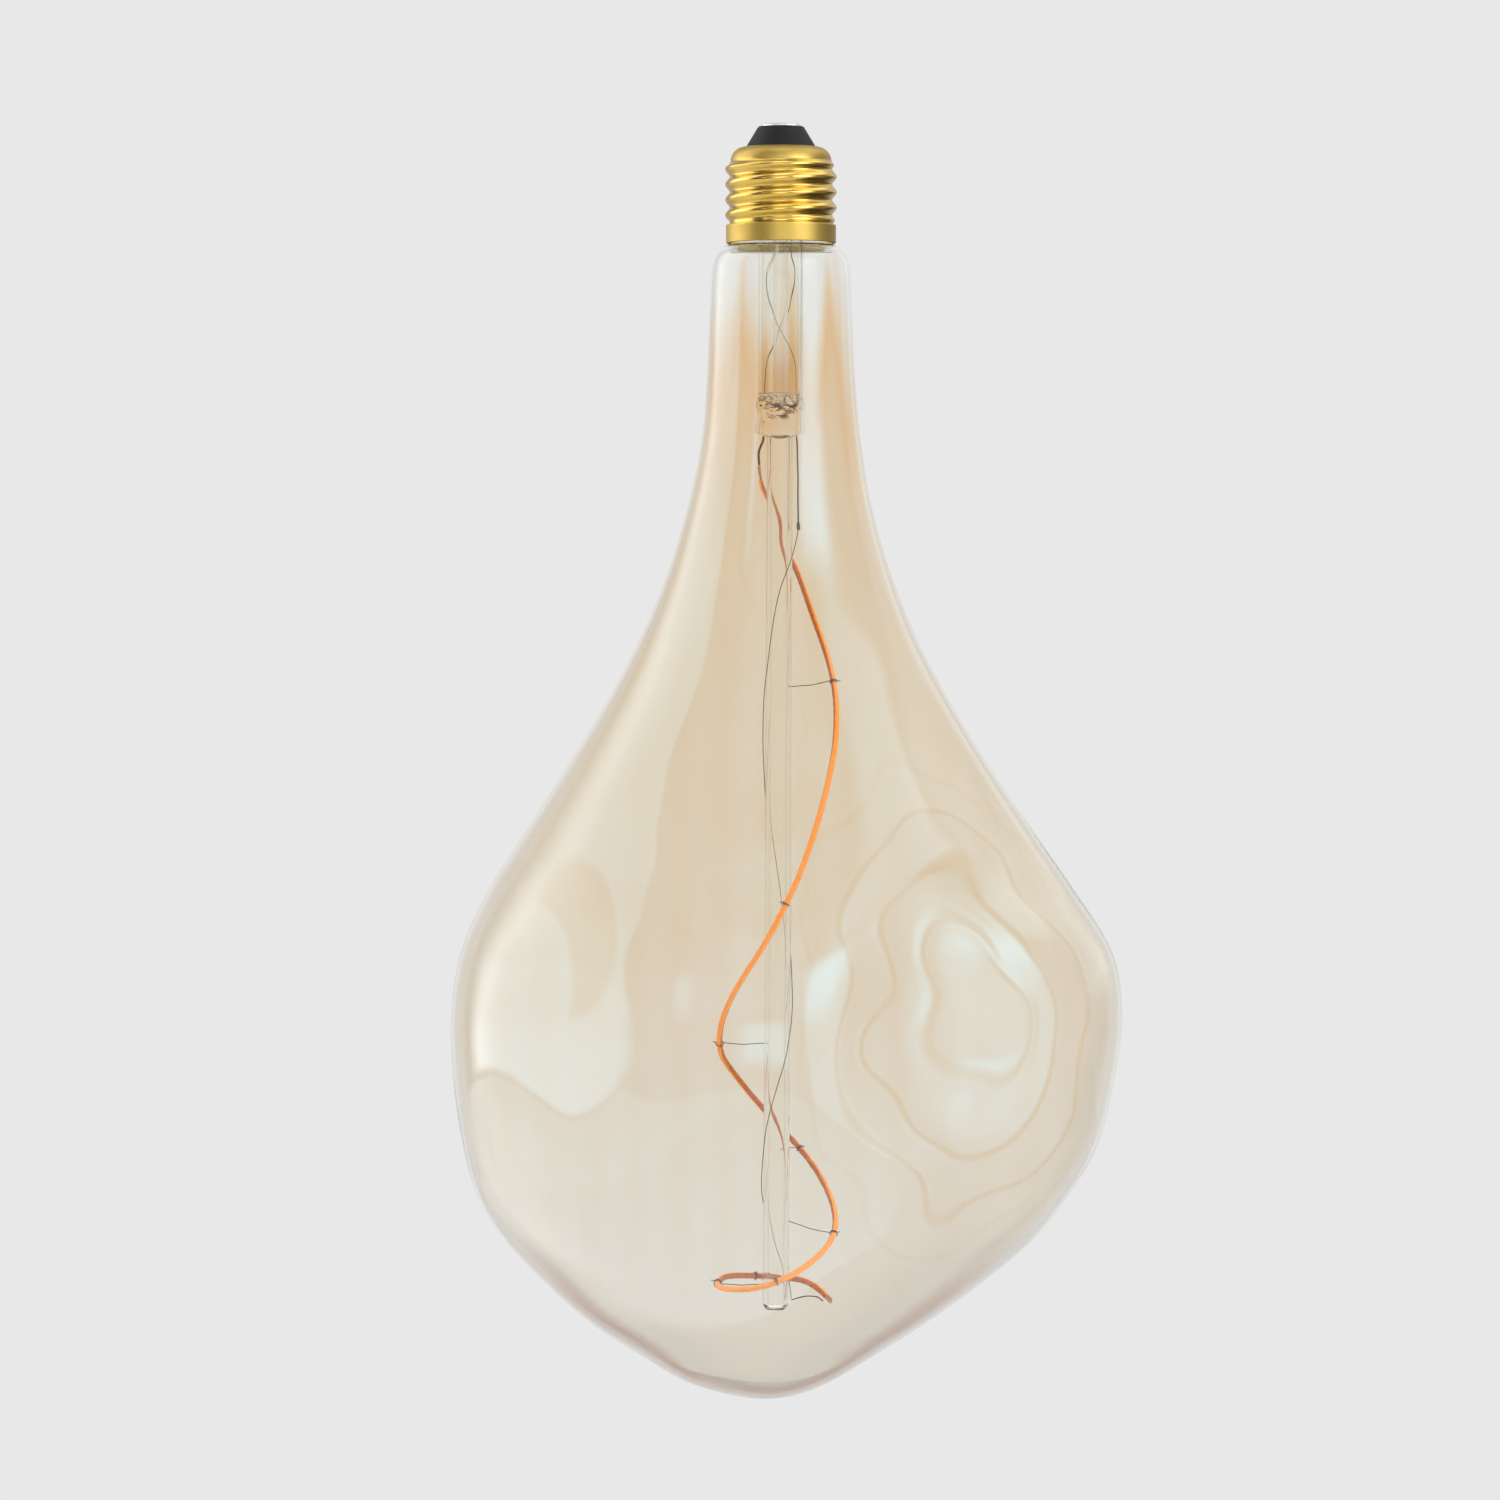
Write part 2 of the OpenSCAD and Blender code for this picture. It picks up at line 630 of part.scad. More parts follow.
module bridge_rectifier() color("#222222") surface_part(bridge_place, bridge_size, 2);
module driver_chip() color("#222222") surface_part(driver_chip_place, driver_chip_size, 4);

module fusible_resistor() {
    h = resistor_body[1];
    color("khaki") translate([resistor_place[0], resistor_place[1], -board_top + resistor_cap[0] + 0.05])
        rotate([0, 90, 0]) {
            cylinder(r = resistor_body[0], h = h, center = true, $fn = smooth);
            for (z = [-h / 2 + resistor_cap[1] / 2, h / 2 - resistor_cap[1] / 2]) translate([0, 0, z])
                cylinder(r = resistor_cap[0], h = resistor_cap[1], center = true, $fn = smooth);
        }
}

module smoothing_capacitor() {
    z = -board_bottom - capacitor_can[0] - 0.1;
    color("black") translate([capacitor_place[0], capacitor_place[1], z]) rotate([0, 90, 0]) {
        cylinder(r = capacitor_can[0], h = capacitor_can[1], $fn = smooth);
        translate([0, 0, -capacitor_plug[1]])
            cylinder(r = capacitor_plug[0], h = capacitor_plug[1] + gap, $fn = smooth);
    }
}

module choke() {
    color("#333333") translate([choke_place[0], choke_place[1], -board_bottom - choke_h - gap]) {
        cylinder(r = choke_core_r, h = choke_h - choke_flange[1] / 2, $fn = smooth);
        for (z = [0, choke_h - choke_flange[1]]) translate([0, 0, z])
            cylinder(r = choke_flange[0], h = choke_flange[1], $fn = smooth);
    }
}

module radio_module() {
    color("navy") translate([radio_corner[0], radio_corner[1], -board_bottom - radio_seat - radio_size[2]])
        cube(radio_size);
}

module radio_shield() {
    z = -board_bottom - radio_seat - radio_size[2] - gap - shield_size[2];
    color("silver") translate([radio_corner[0] + shield_inset, radio_corner[1] + shield_inset, z])
        cube(shield_size);
}

module radio_aerial() {
    top = -board_bottom - radio_seat - radio_size[2] - gap;
    foot = [aerial_place[0], aerial_place[1], top];
    color("peru") bar(foot - [0, 0, aerial_h], foot, aerial_r);
}

module live_wire() color("firebrick") wire(live_route, live_r, 21, [1, -1, 0]);
module neutral_wire() color("white") wire(neutral_route, neutral_r, 19);
module neutral_solder() color("silver") translate(solder_place) sphere(r = solder_r, $fn = smooth);

cap_shell();
cap_insulator();
centre_contact();
capping_cement();
glass_envelope();
stem_flare();
exhaust_tube();
stem_press();
support_tube();
seal_wires();
outer_lead_left();
outer_lead_right();
lead_sleeve();
inner_lead_left();
inner_lead_right();
lead_crimp();
return_wire();
bottom_tie();
filament_coat();
filament_strip();
filament_chips();
top_terminal();
bottom_terminal();
for (i = [0:len(anchors) - 1])
    anchor(i);
driver_board();
bridge_rectifier();
driver_chip();
fusible_resistor();
smoothing_capacitor();
choke();
radio_module();
radio_shield();
radio_aerial();
live_wire();
neutral_wire();
neutral_solder();
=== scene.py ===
import math
import bpy
import bmesh
from mathutils import Matrix, Vector, noise

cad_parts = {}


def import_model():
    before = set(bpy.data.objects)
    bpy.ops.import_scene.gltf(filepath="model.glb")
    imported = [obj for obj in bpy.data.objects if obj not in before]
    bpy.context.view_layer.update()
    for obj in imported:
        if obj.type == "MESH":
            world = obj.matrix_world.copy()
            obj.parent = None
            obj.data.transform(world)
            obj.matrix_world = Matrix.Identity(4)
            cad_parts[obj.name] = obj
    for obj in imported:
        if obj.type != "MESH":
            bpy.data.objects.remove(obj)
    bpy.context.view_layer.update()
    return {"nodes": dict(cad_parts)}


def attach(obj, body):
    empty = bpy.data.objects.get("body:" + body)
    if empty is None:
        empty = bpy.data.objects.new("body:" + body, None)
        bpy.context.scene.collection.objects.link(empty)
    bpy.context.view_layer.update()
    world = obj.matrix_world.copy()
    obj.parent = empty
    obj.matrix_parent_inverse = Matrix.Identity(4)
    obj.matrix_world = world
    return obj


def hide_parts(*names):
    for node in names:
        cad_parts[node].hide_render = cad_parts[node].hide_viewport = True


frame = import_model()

scene = bpy.context.scene
MM = 0.001
WANDER_SEED = 1
# Blender seeds its noise vectors from the clock, so without this each run would bend the wires differently
noise.seed_set(WANDER_SEED)

# ---------------------------------------------------------------- shape tables, in millimetres and degrees
# The envelope's outline: depth, then how far it reaches left, right, front and back
OUTLINE = [
    [21.5, -11.2, 11.2, -11.2, 11.2],
    [24.5, -11.2, 11.2, -11.2, 11.2],
    [27.6, -11.2, 11.2, -11.2, 11.2],
    [28.9, -13.4, 13.4, -13.4, 13.4],
    [31, -15.4, 15.4, -15.4, 15.4],
    [35, -16.4, 16.4, -16.4, 16.4],
    [45, -16.9, 16.9, -16.9, 16.9],
    [60, -17.5, 17.5, -17.5, 17.5],
    [75, -18.8, 18.9, -18.9, 18.8],
    [90, -22, 21.4, -22, 21.5],
    [105, -26.5, 25.6, -26, 26.5],
    [120, -32.7, 31.5, -31.5, 33],
    [135, -40.5, 39.3, -39, 41],
    [150, -49.7, 48.3, -47.5, 50],
    [165, -59.3, 58.4, -57, 60],
    [180, -68.8, 68.8, -66, 69],
    [195, -75.4, 78, -74, 75.5],
    [210, -77.7, 80.3, -77.5, 78.5],
    [225, -77.2, 78.5, -76.5, 78],
    [240, -75.2, 74.7, -73, 75],
    [252, -71.8, 67.8, -68, 69.5],
    [263, -64.8, 58.9, -61, 62],
    [273, -55.3, 47.1, -51, 53],
    [282, -45.2, 34.6, -40, 42],
    [290, -32.7, 22.1, -27, 30],
    [296, -22.4, 12, -17, 19],
    [299.2, -11.5, 3.5, -8, 9],
    [300, -4, -4, 0.5, 0.5],
]
# Dents: direction, depth down the lamp, half width in degrees, half height, share of the radius, flatness
DENTS = [
    [301, 210, 21, 30, 0.15, 1.5],
    [226, 214, 15, 22, 0.045, 1.2],
    [264, 262, 26, 20, 0.09, 1.1],
    [262, 158, 26, 24, 0.05, 1.2],
    [325, 160, 16, 24, 0.06, 1.3],
    [318, 247, 16, 13, 0.04, 1.2],
    [208, 243, 18, 13, 0.04, 1.2],
    [52, 192, 20, 28, 0.11, 1.5],
    [128, 214, 20, 30, 0.12, 1.5],
    [90, 262, 30, 20, 0.08, 1.1],
    [152, 168, 16, 22, 0.05, 1.2],
    [32, 243, 18, 16, 0.04, 1.2],
]
GLASS_WALL = 1.1
NECK_RIM = 21.5
STEM_LEAN = math.radians(0.27)
THREAD_CREST, THREAD_ROOT, THREAD_PITCH = 13.15, 12.1, 3.629
THREAD_TOP, THREAD_END, THREAD_CREST_DEPTH, THREAD_FADE = 8.8, 23.7, 12.43, 1.4
THREAD_ROUNDING = 0.85
SHOULDER_R, SHOULDER_STEP, CAP_MOUTH_R = 3.4, 0.2, 8.2
SKIRT_STEP = 0.28
SKIRT_R, CAP_H, SHELL_WALL = 12.95, 28.1, 0.4
SUPPORT_R, COAT_R = 3.05, 0.7
PRESS_TOP, PRESS_LENGTH = 63.45, 10.1
PRESS_ROUND_R, PRESS_THIN = 5.3, 2.7
ANCHOR_WIRE_R, EYE_GAP, EYE_TURNS = 0.1, 0.16, 1.35
SHORT_TAIL, LONG_TAIL = 1.1, 2.4
# Wires as [x, y, depth]; the filament and the return wire as [turn, radius, depth], clockwise from above
LEFT_LEAD = [[-3.2, -0.6, 13.7], [-3.0, -1.2, 20], [-0.9, -2.2, 28], [-3.0, -2.4, 35], [-2.7, -2.5, 41],
             [-0.4, -2.6, 48], [2.6, -2.2, 54], [3.7, -0.9, 59], [3.85, 0, 63.4]]
RIGHT_LEAD = [[3.4, 0.8, 13.7], [3.0, 1.6, 20], [2.5, 1.9, 29], [3.5, 1.6, 35.5], [2.2, 2.3, 43],
              [-0.4, 2.6, 48], [-2.4, 2.2, 53.5], [-3.6, 0.9, 58], [-3.85, 0, 63.4]]
INNER_LEFT = [[-3.9, 0, 73.6], [-3.95, 0, 74.6], [-4.6, 0.1, 76.2], [-5, 0.3, 77.7], [-4.85, 0.2, 80.4]]
INNER_RIGHT = [[3.9, 0, 73.6], [4.1, 0, 76], [4.3, 0, 85], [4.4, 0, 94]]
FILAMENT = [
    [-82, 4.7, 82.6], [-5, 5.6, 92], [6, 7, 98.7], [28, 9.2, 105.5], [48, 11.7, 117.5], [72, 13.3, 130],
    [97, 13.7, 142.5], [122, 13.8, 155], [144, 13.8, 168], [167, 13.8, 181], [195, 13.8, 193.5],
    [230, 13.7, 205], [273, 13.6, 216.5], [315, 13.8, 224.5], [360, 13.8, 236], [402, 13.6, 246.5],
    [447, 13.9, 257.5], [495, 13.8, 266], [550, 13.8, 272.4], [607, 13.7, 273.5], [663, 13.7, 271.7],
    [720, 13.8, 272.2], [752, 13.9, 273.2], [782, 13.8, 276.4],
]
RETURN = [
    [90, 4.4, 95.7], [130, 3.9, 102], [180, 3.6, 111], [225, 3.5, 125], [270, 3.6, 145], [308, 3.5, 162],
    [360, 3.4, 177], [410, 3.4, 192], [450, 3.5, 206], [498, 3.5, 218], [540, 3.5, 227], [590, 3.5, 238],
    [630, 3.6, 249], [680, 3.5, 257], [725, 3.5, 265], [775, 3.5, 271], [808, 3.7, 276.4],
]
TIE = [[3.75, -1.1, 276.7], [5.2, -0.6, 276.2], [7.6, 1.6, 275.9], [9.8, 3.6, 276.2], [11.3, 4.4, 277.4]]
# Anchors: the station of the filament that each one holds, and how far its root drops below
ANCHORS = [[5.1, 1.4], [9.2, 0], [12, 0], [14.55, 0], [16.35, -2.8], [17.8, 0], [19.4, 0], [20.6, 0]]
LONG_TAILED = (1, 5)
# Bubbles in the press: centre, half sizes, seed of the unevenness, how far the ends hang, slope
BUBBLES = [
    [(-3.1, 0.1, -66.5), (0.75, 0.9, 0.7), 2.0, 0.0, 0.5],
    [(-0.4, -0.2, -66.8), (2.0, 1.0, 0.3), 1.0, 0.35, -0.06],
    [(0.0, -0.9, -65.75), (0.8, 0.5, 0.3), 6.0, 0.0, 0.0],
    [(-0.2, -0.7, -65.0), (1.9, 0.5, 0.13), 7.0, 0.2, 0.0],
    [(2.4, 0.1, -67.6), (0.95, 0.7, 0.3), 3.0, 0.0, -0.9],
    [(-2.2, -0.3, -69.3), (0.75, 0.5, 0.16), 4.0, 0.0, -0.35],
    [(-3.7, 0.0, -69.8), (0.3, 0.6, 0.6), 8.0, 0.0, -0.8],
]
# Steps of the meshes
ENVELOPE_SIDES, CAP_SIDES, PRESS_SIDES = 160, 192, 64
THREAD_ROWS, PRESS_ROWS, FILAMENT_ROWS = 150, 44, 900
# The outline's rows before the first and past the second of these bend most, so they get the finer steps
BENDING_ENDS = (5, 21)
FINE_STEPS, PLAIN_STEPS = 10, 8
POLE_GAP = 0.03


# ---------------------------------------------------------------- curves
def between(a, b, c, d, t):
    return b + t / 2 * ((c - a) + t * ((2 * a - 5 * b + 4 * c - d) + t * (3 * (b - c) + d - a)))


def station(table, u):
    last = len(table) - 1
    i = min(int(math.floor(u)), last)
    rows = [table[max(0, min(j, last))] for j in (i - 1, i, i + 1, i + 2)]
    return [between(a, b, c, d, u - i) for a, b, c, d in zip(*rows)]


def along(table, count):
    return [station(table, i * (len(table) - 1) / (count - 1)) for i in range(count)]


def leaning(p):
    """The hand-set stem leans a little from the cap's axis."""
    x, y, z = p
    z += NECK_RIM
    c, s = math.cos(STEM_LEAN), math.sin(STEM_LEAN)
    return Vector((x * c + z * s, y, -x * s + z * c - NECK_RIM))


def down(p):
    return leaning((p[0], p[1], -p[2]))


def around(s):
    a = math.radians(s[0])
    return leaning((s[1] * math.sin(a), s[1] * math.cos(a), -s[2]))


# ---------------------------------------------------------------- meshes
def new_piece(name, verts, faces, slot=None):
    mesh = bpy.data.meshes.new(name)
    mesh.from_pydata([tuple(v * MM for v in p) for p in verts], [], faces)
    bm = bmesh.new()
    bm.from_mesh(mesh)
    bmesh.ops.recalc_face_normals(bm, faces=bm.faces)
    bm.to_mesh(mesh)
    bm.free()
    mesh.shade_smooth()
    ob = bpy.data.objects.new(name, mesh)
    scene.collection.objects.link(ob)
    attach(ob, "root")
    return ob


def rings_mesh(rings, first_cap=True, last_cap=True, closed=False):
    """Vertices and faces of a skin over rings of equal length."""
    n, verts, faces = len(rings[0]), [p for r in rings for p in r], []
    rows = len(rings)
    for i in range(rows if closed else rows - 1):
        j = (i + 1) % rows
        for k in range(n):
            after = (k + 1) % n
            faces.append((i * n + k, i * n + after, j * n + after, j * n + k))
    if not closed:
        if first_cap:
            faces.append(tuple(reversed(range(n))))
        if last_cap:
            faces.append(tuple((rows - 1) * n + k for k in range(n)))
    return verts, faces


def tube_rings(path, radii, sides):
    """Rings of a round sweep with as little twist as the path allows."""
    path = [Vector(p) for p in path]
    last = len(path) - 1
    tangents = [(path[min(i + 1, last)] - path[max(i - 1, 0)]).normalized() for i in range(last + 1)]
    side = tangents[0].orthogonal().normalized()
    rings = []
    for i, (p, t) in enumerate(zip(path, tangents)):
        side = (side - side.dot(t) * t).normalized()
        up = t.cross(side)
        r = radii[i] if isinstance(radii, list) else radii
        rings.append([p + r * (math.cos(a) * side + math.sin(a) * up)
                      for a in (2 * math.pi * k / sides for k in range(sides))])
    return rings


def tube_piece(name, path, radii, sides, slot):
    rings = tube_rings(path, radii, sides)
    return new_piece(name, *rings_mesh(rings), slot=slot)


def joined_piece(name, parts, slot):
    """One piece from several skins."""
    verts, faces = [], []
    for v, f in parts:
        base = len(verts)
        verts += v
        faces += [tuple(base + i for i in face) for face in f]
    return new_piece(name, verts, faces, slot)


def level_ring(r, z, sides):
    turns = (2 * math.pi * k / sides for k in range(sides))
    return [Vector((r * math.cos(t), r * math.sin(t), z)) for t in turns]


def eased(x):
    """0 up to 0, 1 from 1 on, with a smooth change between them."""
    x = min(1, max(0, x))
    return x * x * (3 - 2 * x)


# ---------------------------------------------------------------- envelope
mirrored = OUTLINE[-2]
STATIONS = OUTLINE + [[mirrored[0], mirrored[2], mirrored[1], mirrored[4], mirrored[3]]]


def angle_apart(a, b):
    return abs((a - b + 540) % 360 - 180)


def dent_share(angle, depth):
    total = 0
    for where, level, wide, high, share, flat in DENTS:
        d = math.hypot(angle_apart(angle, where) / wide, (depth - level) / high)
        total += share * math.exp(-d ** (2 * flat))
    return total


def envelope_point(u, angle):
    depth, left, right, front, back = station(STATIONS, u)
    keep = (1 - dent_share(angle, depth)) / 2
    a = math.radians(angle)
    return Vector((
        (left + right) / 2 + (right - left) * keep * math.cos(a),
        (front + back) / 2 + (back - front) * keep * math.sin(a),
        -depth,
    ))


def envelope():
    """A skin with an inner and an outer side, closed at the bottom and open at the neck's rim."""
    sides = ENVELOPE_SIDES
    neck_rows, bottom_rows = BENDING_ENDS
    steps = []
    for i in range(len(OUTLINE) - 1):
        fine = FINE_STEPS if i < neck_rows or i > bottom_rows else PLAIN_STEPS
        steps += [i + j / fine for j in range(fine)]
    steps.append(len(OUTLINE) - 1 - POLE_GAP)
    outer = [[envelope_point(u, 360 * k / sides) for k in range(sides)] for u in steps]
    inner = []
    rows = len(outer)
    for i in range(rows):
        ring = []
        for k in range(sides):
            round_it = outer[i][(k + 1) % sides] - outer[i][k - 1]
            down_it = outer[min(i + 1, rows - 1)][k] - outer[max(i - 1, 0)][k]
            n = round_it.cross(down_it).normalized()
            if i == 0:
                n = -Vector((outer[0][k].x, outer[0][k].y, 0)).normalized()
            ring.append(outer[i][k] + GLASS_WALL * n)
        inner.append(ring)
    verts, faces = rings_mesh(inner[::-1] + outer, first_cap=False, last_cap=False)
    inner_pole, outer_pole = len(verts), len(verts) + 1
    pole = envelope_point(len(OUTLINE) - 1, 0)
    verts += [pole + Vector((0, 0, GLASS_WALL)), pole]
    last = (2 * rows - 1) * sides
    faces += [(k, (k + 1) % sides, inner_pole) for k in range(sides)]
    faces += [(last + (k + 1) % sides, last + k, outer_pole) for k in range(sides)]
    return new_piece("envelope_glass", verts, faces, "amber_glass")


# ---------------------------------------------------------------- cap
def thread_lift(depth, angle):
    wave = (1 + math.cos(math.radians(360 * (THREAD_CREST_DEPTH - depth) / THREAD_PITCH - angle))) / 2
    wave = wave ** THREAD_ROUNDING
    near = min(depth - THREAD_TOP, THREAD_END - depth)
    return wave * max(0, min(1, near / THREAD_FADE))


def thread_ring(depth):
    ring = []
    for k in range(CAP_SIDES):
        angle = 360 * k / CAP_SIDES
        r = THREAD_ROOT + (THREAD_CREST - THREAD_ROOT) * thread_lift(depth, angle)
        r -= SHOULDER_STEP * max(0, 1 - (depth - THREAD_TOP) / 0.8)
        t = math.radians(angle)
        ring.append(Vector((r * math.cos(t), r * math.sin(t), -depth)))
    return ring


def cap_arc(profile, r, z, size, degrees):
    """Adds rings along an arc of the shell's section, centred at r and z."""
    for a in degrees:
        turn = math.radians(a)
        profile.append(level_ring(r + size * math.cos(turn), z + size * math.sin(turn), CAP_SIDES))


def cap_shell():
    """Outside from the mouth over shoulder, thread and skirt, then back up the inside."""
    outer = THREAD_ROOT - SHOULDER_STEP
    mouth_z = -(THREAD_TOP - SHOULDER_R)
    half_wall = SHELL_WALL / 2
    profile = [level_ring(CAP_MOUTH_R, mouth_z, CAP_SIDES)]
    cap_arc(profile, outer - SHOULDER_R, -THREAD_TOP, SHOULDER_R, range(90, -1, -6))
    for i in range(1, THREAD_ROWS):
        profile.append(thread_ring(THREAD_TOP + (THREAD_END - THREAD_TOP) * i / THREAD_ROWS))
    profile.append(level_ring(SKIRT_R - SKIRT_STEP - 0.25, -THREAD_END + 0.02, CAP_SIDES))
    cap_arc(profile, SKIRT_R - SKIRT_STEP, -THREAD_END - SKIRT_STEP, SKIRT_STEP, range(90, -1, -18))
    for level in (0.5, 0.9, 1.8, 3.2, 3.9, 4.1):
        profile.append(level_ring(SKIRT_R, -THREAD_END - level, CAP_SIDES))
    cap_arc(profile, SKIRT_R - half_wall, -CAP_H + half_wall, half_wall, range(0, -181, -30))
    profile.append(level_ring(SKIRT_R - SHELL_WALL, -THREAD_END - 0.5, CAP_SIDES))
    profile.append(level_ring(THREAD_ROOT - SHELL_WALL, -THREAD_END - 0.2, CAP_SIDES))
    profile.append(level_ring(THREAD_ROOT - SHELL_WALL, -THREAD_TOP, CAP_SIDES))
    cap_arc(profile, outer - SHOULDER_R, -THREAD_TOP, SHOULDER_R - SHELL_WALL, range(0, 91, 15))
    profile.append(level_ring(CAP_MOUTH_R, mouth_z - SHELL_WALL, CAP_SIDES))
    return new_piece("cap_shell_rolled", *rings_mesh(profile, closed=True), slot="cap_brass")


# ---------------------------------------------------------------- stem press
def press_ring(t):
    """A ring of the press: round at t = 0, pinched flat by the tongs, and sagging at t = 1."""
    z = -PRESS_TOP - t * PRESS_LENGTH
    flat = eased((t - 0.05) / 0.3)
    half_x = 5.3 + 0.35 * flat + 0.25 * math.sin(t * 9) * flat
    power = 2 + 1.6 * flat
    end = min(1, (1 - t) / 0.08, t / 0.04 + 0.35)
    close = 1 - 0.25 * (1 - math.sqrt(max(0, 1 - (1 - min(1, end)) ** 2)))
    ring = []
    for k in range(PRESS_SIDES):
        a = 2 * math.pi * k / PRESS_SIDES
        c, s = math.cos(a), math.sin(a)
        uneven = 0.2 * abs(s) * noise.noise(Vector((c * 2.6, 0.7 if s < 0 else 3.1, 0.4)))
        pinch = eased((t - 0.05 + uneven) / 0.3)
        half_y = PRESS_ROUND_R + (PRESS_THIN - PRESS_ROUND_R) * pinch + 0.2 * math.cos(t * 11) * flat
        r = (abs(c) ** power + abs(s) ** power) ** (-1 / power)
        wob = 1 + 0.035 * flat * noise.noise(Vector((c * 1.4, s * 1.4, z * 0.35)))
        sag = 1.0 * t ** 4 * (1 - (r * c) ** 2)
        x, y = half_x * r * c * close * wob, half_y * r * s * close * wob
        ring.append(leaning((x, y, z + 0.45 * t ** 4 - sag)))
    return ring


def bubble(centre, half, seed, arch, slope):
    x, y, z = centre
    rx, ry, rz = half
    rings = []
    for i in range(1, 12):
        t = math.pi * i / 12
        ring = []
        for a in (2 * math.pi * k / 20 for k in range(20)):
            wide = 1 + 0.3 * noise.noise(Vector((math.cos(a), math.sin(a), seed)))
            high = 1 + 0.3 * noise.noise(Vector((math.sin(a), seed, math.cos(a))))
            ring.append(leaning((
                x + rx * math.sin(t) * math.cos(a) * wide,
                y + ry * math.sin(t) * math.sin(a),
                z + rz * math.cos(t) * high
                - arch * (math.sin(t) * math.cos(a)) ** 2 + slope * rx * math.sin(t) * math.cos(a))))
        rings.append(ring)
    return rings_mesh(rings)


def stem_press():
    body = rings_mesh([press_ring(i / PRESS_ROWS) for i in range(PRESS_ROWS + 1)])
    return joined_piece("press_glass", [body] + [bubble(*row) for row in BUBBLES], "stem_glass")


# ---------------------------------------------------------------- wires and filament
def wandering(path, size, seed, reach=6.0):
    """A path with the slight kinks of hand-set wire; its ends stay."""
    out = []
    for i, p in enumerate(path):
        ease = min(1, i / 6, (len(path) - 1 - i) / 6)
        v = noise.noise_vector(Vector((p.z / reach + seed, seed * 2.3, p.x / reach)))
        out.append(p + size * ease * v)
    return out


def filament_frame(u):
    s = station(FILAMENT, u)
    centre = around(s)
    t = (around(station(FILAMENT, u + 0.05)) - around(station(FILAMENT, u - 0.05))).normalized()
    a = math.radians(s[0])
    out = Vector((math.sin(a), math.cos(a), 0))
    n = (out - out.dot(t) * t).normalized()
    return s, centre, t, n, out


def anchor(index):
    u, drop = ANCHORS[index]
    s, centre, t, n, out = filament_frame(u)
    b = t.cross(n)
    root = leaning((SUPPORT_R * out.x * 0.97, SUPPORT_R * out.y * 0.97, -s[2] - drop))
    eye = COAT_R + EYE_GAP
    start = centre - eye * n
    mid = (root + start) / 2 + Vector((0, 0, 0.25 if index % 2 else -0.3))
    path = [root, root.lerp(mid, 0.5) + Vector((0, 0, 0.06)), mid, mid.lerp(start, 0.5)]
    count = 34
    for i in range(count + 1):
        a = 2 * math.pi * EYE_TURNS * i / count
        grow = 1 + 0.1 * i / count
        path.append(centre - eye * grow * math.cos(a) * n + eye * grow * math.sin(a) * b
                    + t * (0.5 * i / count - 0.15))
    last = path[-1]
    before = path[-3]
    way = (last - before).normalized()
    tail = LONG_TAIL if index in LONG_TAILED else SHORT_TAIL
    path += [last + way * tail * 0.5, last + way * tail + Vector((0, 0, 0.4))]
    return tube_piece("anchor_wire_%d" % (index + 1), path, ANCHOR_WIRE_R, 8, "steel_wire")


def filament():
    count = FILAMENT_ROWS
    last = len(FILAMENT) - 1
    start = 0.16
    path = [around(station(FILAMENT, start + i * (last - start) / (count - 1))) for i in range(count)]
    radii = []
    for i in range(count):
        end = min(i, count - 1 - i)
        r = COAT_R * (1 + 0.02 * math.sin(i * 0.9) + 0.015 * noise.noise(Vector((i * 0.05, 0, 0))))
        r *= min(1, 0.45 + end / 5) * (0.7 + 0.3 * min(1, i / 40))
        radii.append(r)
    return tube_piece("filament_phosphor", path, radii, 20, "phosphor")


# ---------------------------------------------------------------- materials
def material(name):
    m = bpy.data.materials.new(name)
    m.use_nodes = True
    nt = m.node_tree
    bsdf = next(n for n in nt.nodes if n.type == "BSDF_PRINCIPLED")
    out = next(n for n in nt.nodes if n.type == "OUTPUT_MATERIAL")
    return m, nt, bsdf, out


def node(nt, kind, **values):
    n = nt.nodes.new(kind)
    for key, value in values.items():
        if key in n.inputs:
            n.inputs[key].default_value = value
        else:
            setattr(n, key, value)
    return n


def ramp(nt, source, stops):
    n = nt.nodes.new("ShaderNodeValToRGB")
    n.color_ramp.interpolation = "LINEAR"
    while len(n.color_ramp.elements) < len(stops):
        n.color_ramp.elements.new(0.5)
    for e, (at, colour) in zip(n.color_ramp.elements, stops):
        e.position = at
        e.color = (*colour, 1)
    nt.links.new(source, n.inputs[0])
    return n.outputs[0]


def object_place(nt):
    return nt.nodes.new("ShaderNodeTexCoord").outputs["Object"]


def object_axes(nt):
    split = nt.nodes.new("ShaderNodeSeparateXYZ")
    nt.links.new(object_place(nt), split.inputs[0])
    return split.outputs


def mixed(nt, share, first, second, blend="MIX"):
    """Blends two colours, each a socket or a plain colour."""
    n = node(nt, "ShaderNodeMix", data_type="RGBA", blend_type=blend)
    nt.links.new(share, n.inputs[0])
    for i, colour in ((6, first), (7, second)):
        if isinstance(colour, tuple):
            n.inputs[i].default_value = (*colour, 1)
        else:
            nt.links.new(colour, n.inputs[i])
    return n.outputs[2]


def noise_of(nt, scale, detail=3, stretch=None):
    source = object_place(nt)
    if stretch:
        mapping = nt.nodes.new("ShaderNodeMapping")
        mapping.inputs["Scale"].default_value = stretch
        nt.links.new(source, mapping.inputs[0])
        source = mapping.outputs[0]
    n = nt.nodes.new("ShaderNodeTexNoise")
    n.inputs["Scale"].default_value = scale
    n.inputs["Detail"].default_value = detail
    n.inputs["Roughness"].default_value = 0.5
    nt.links.new(source, n.inputs["Vector"])
    return n.outputs[0]


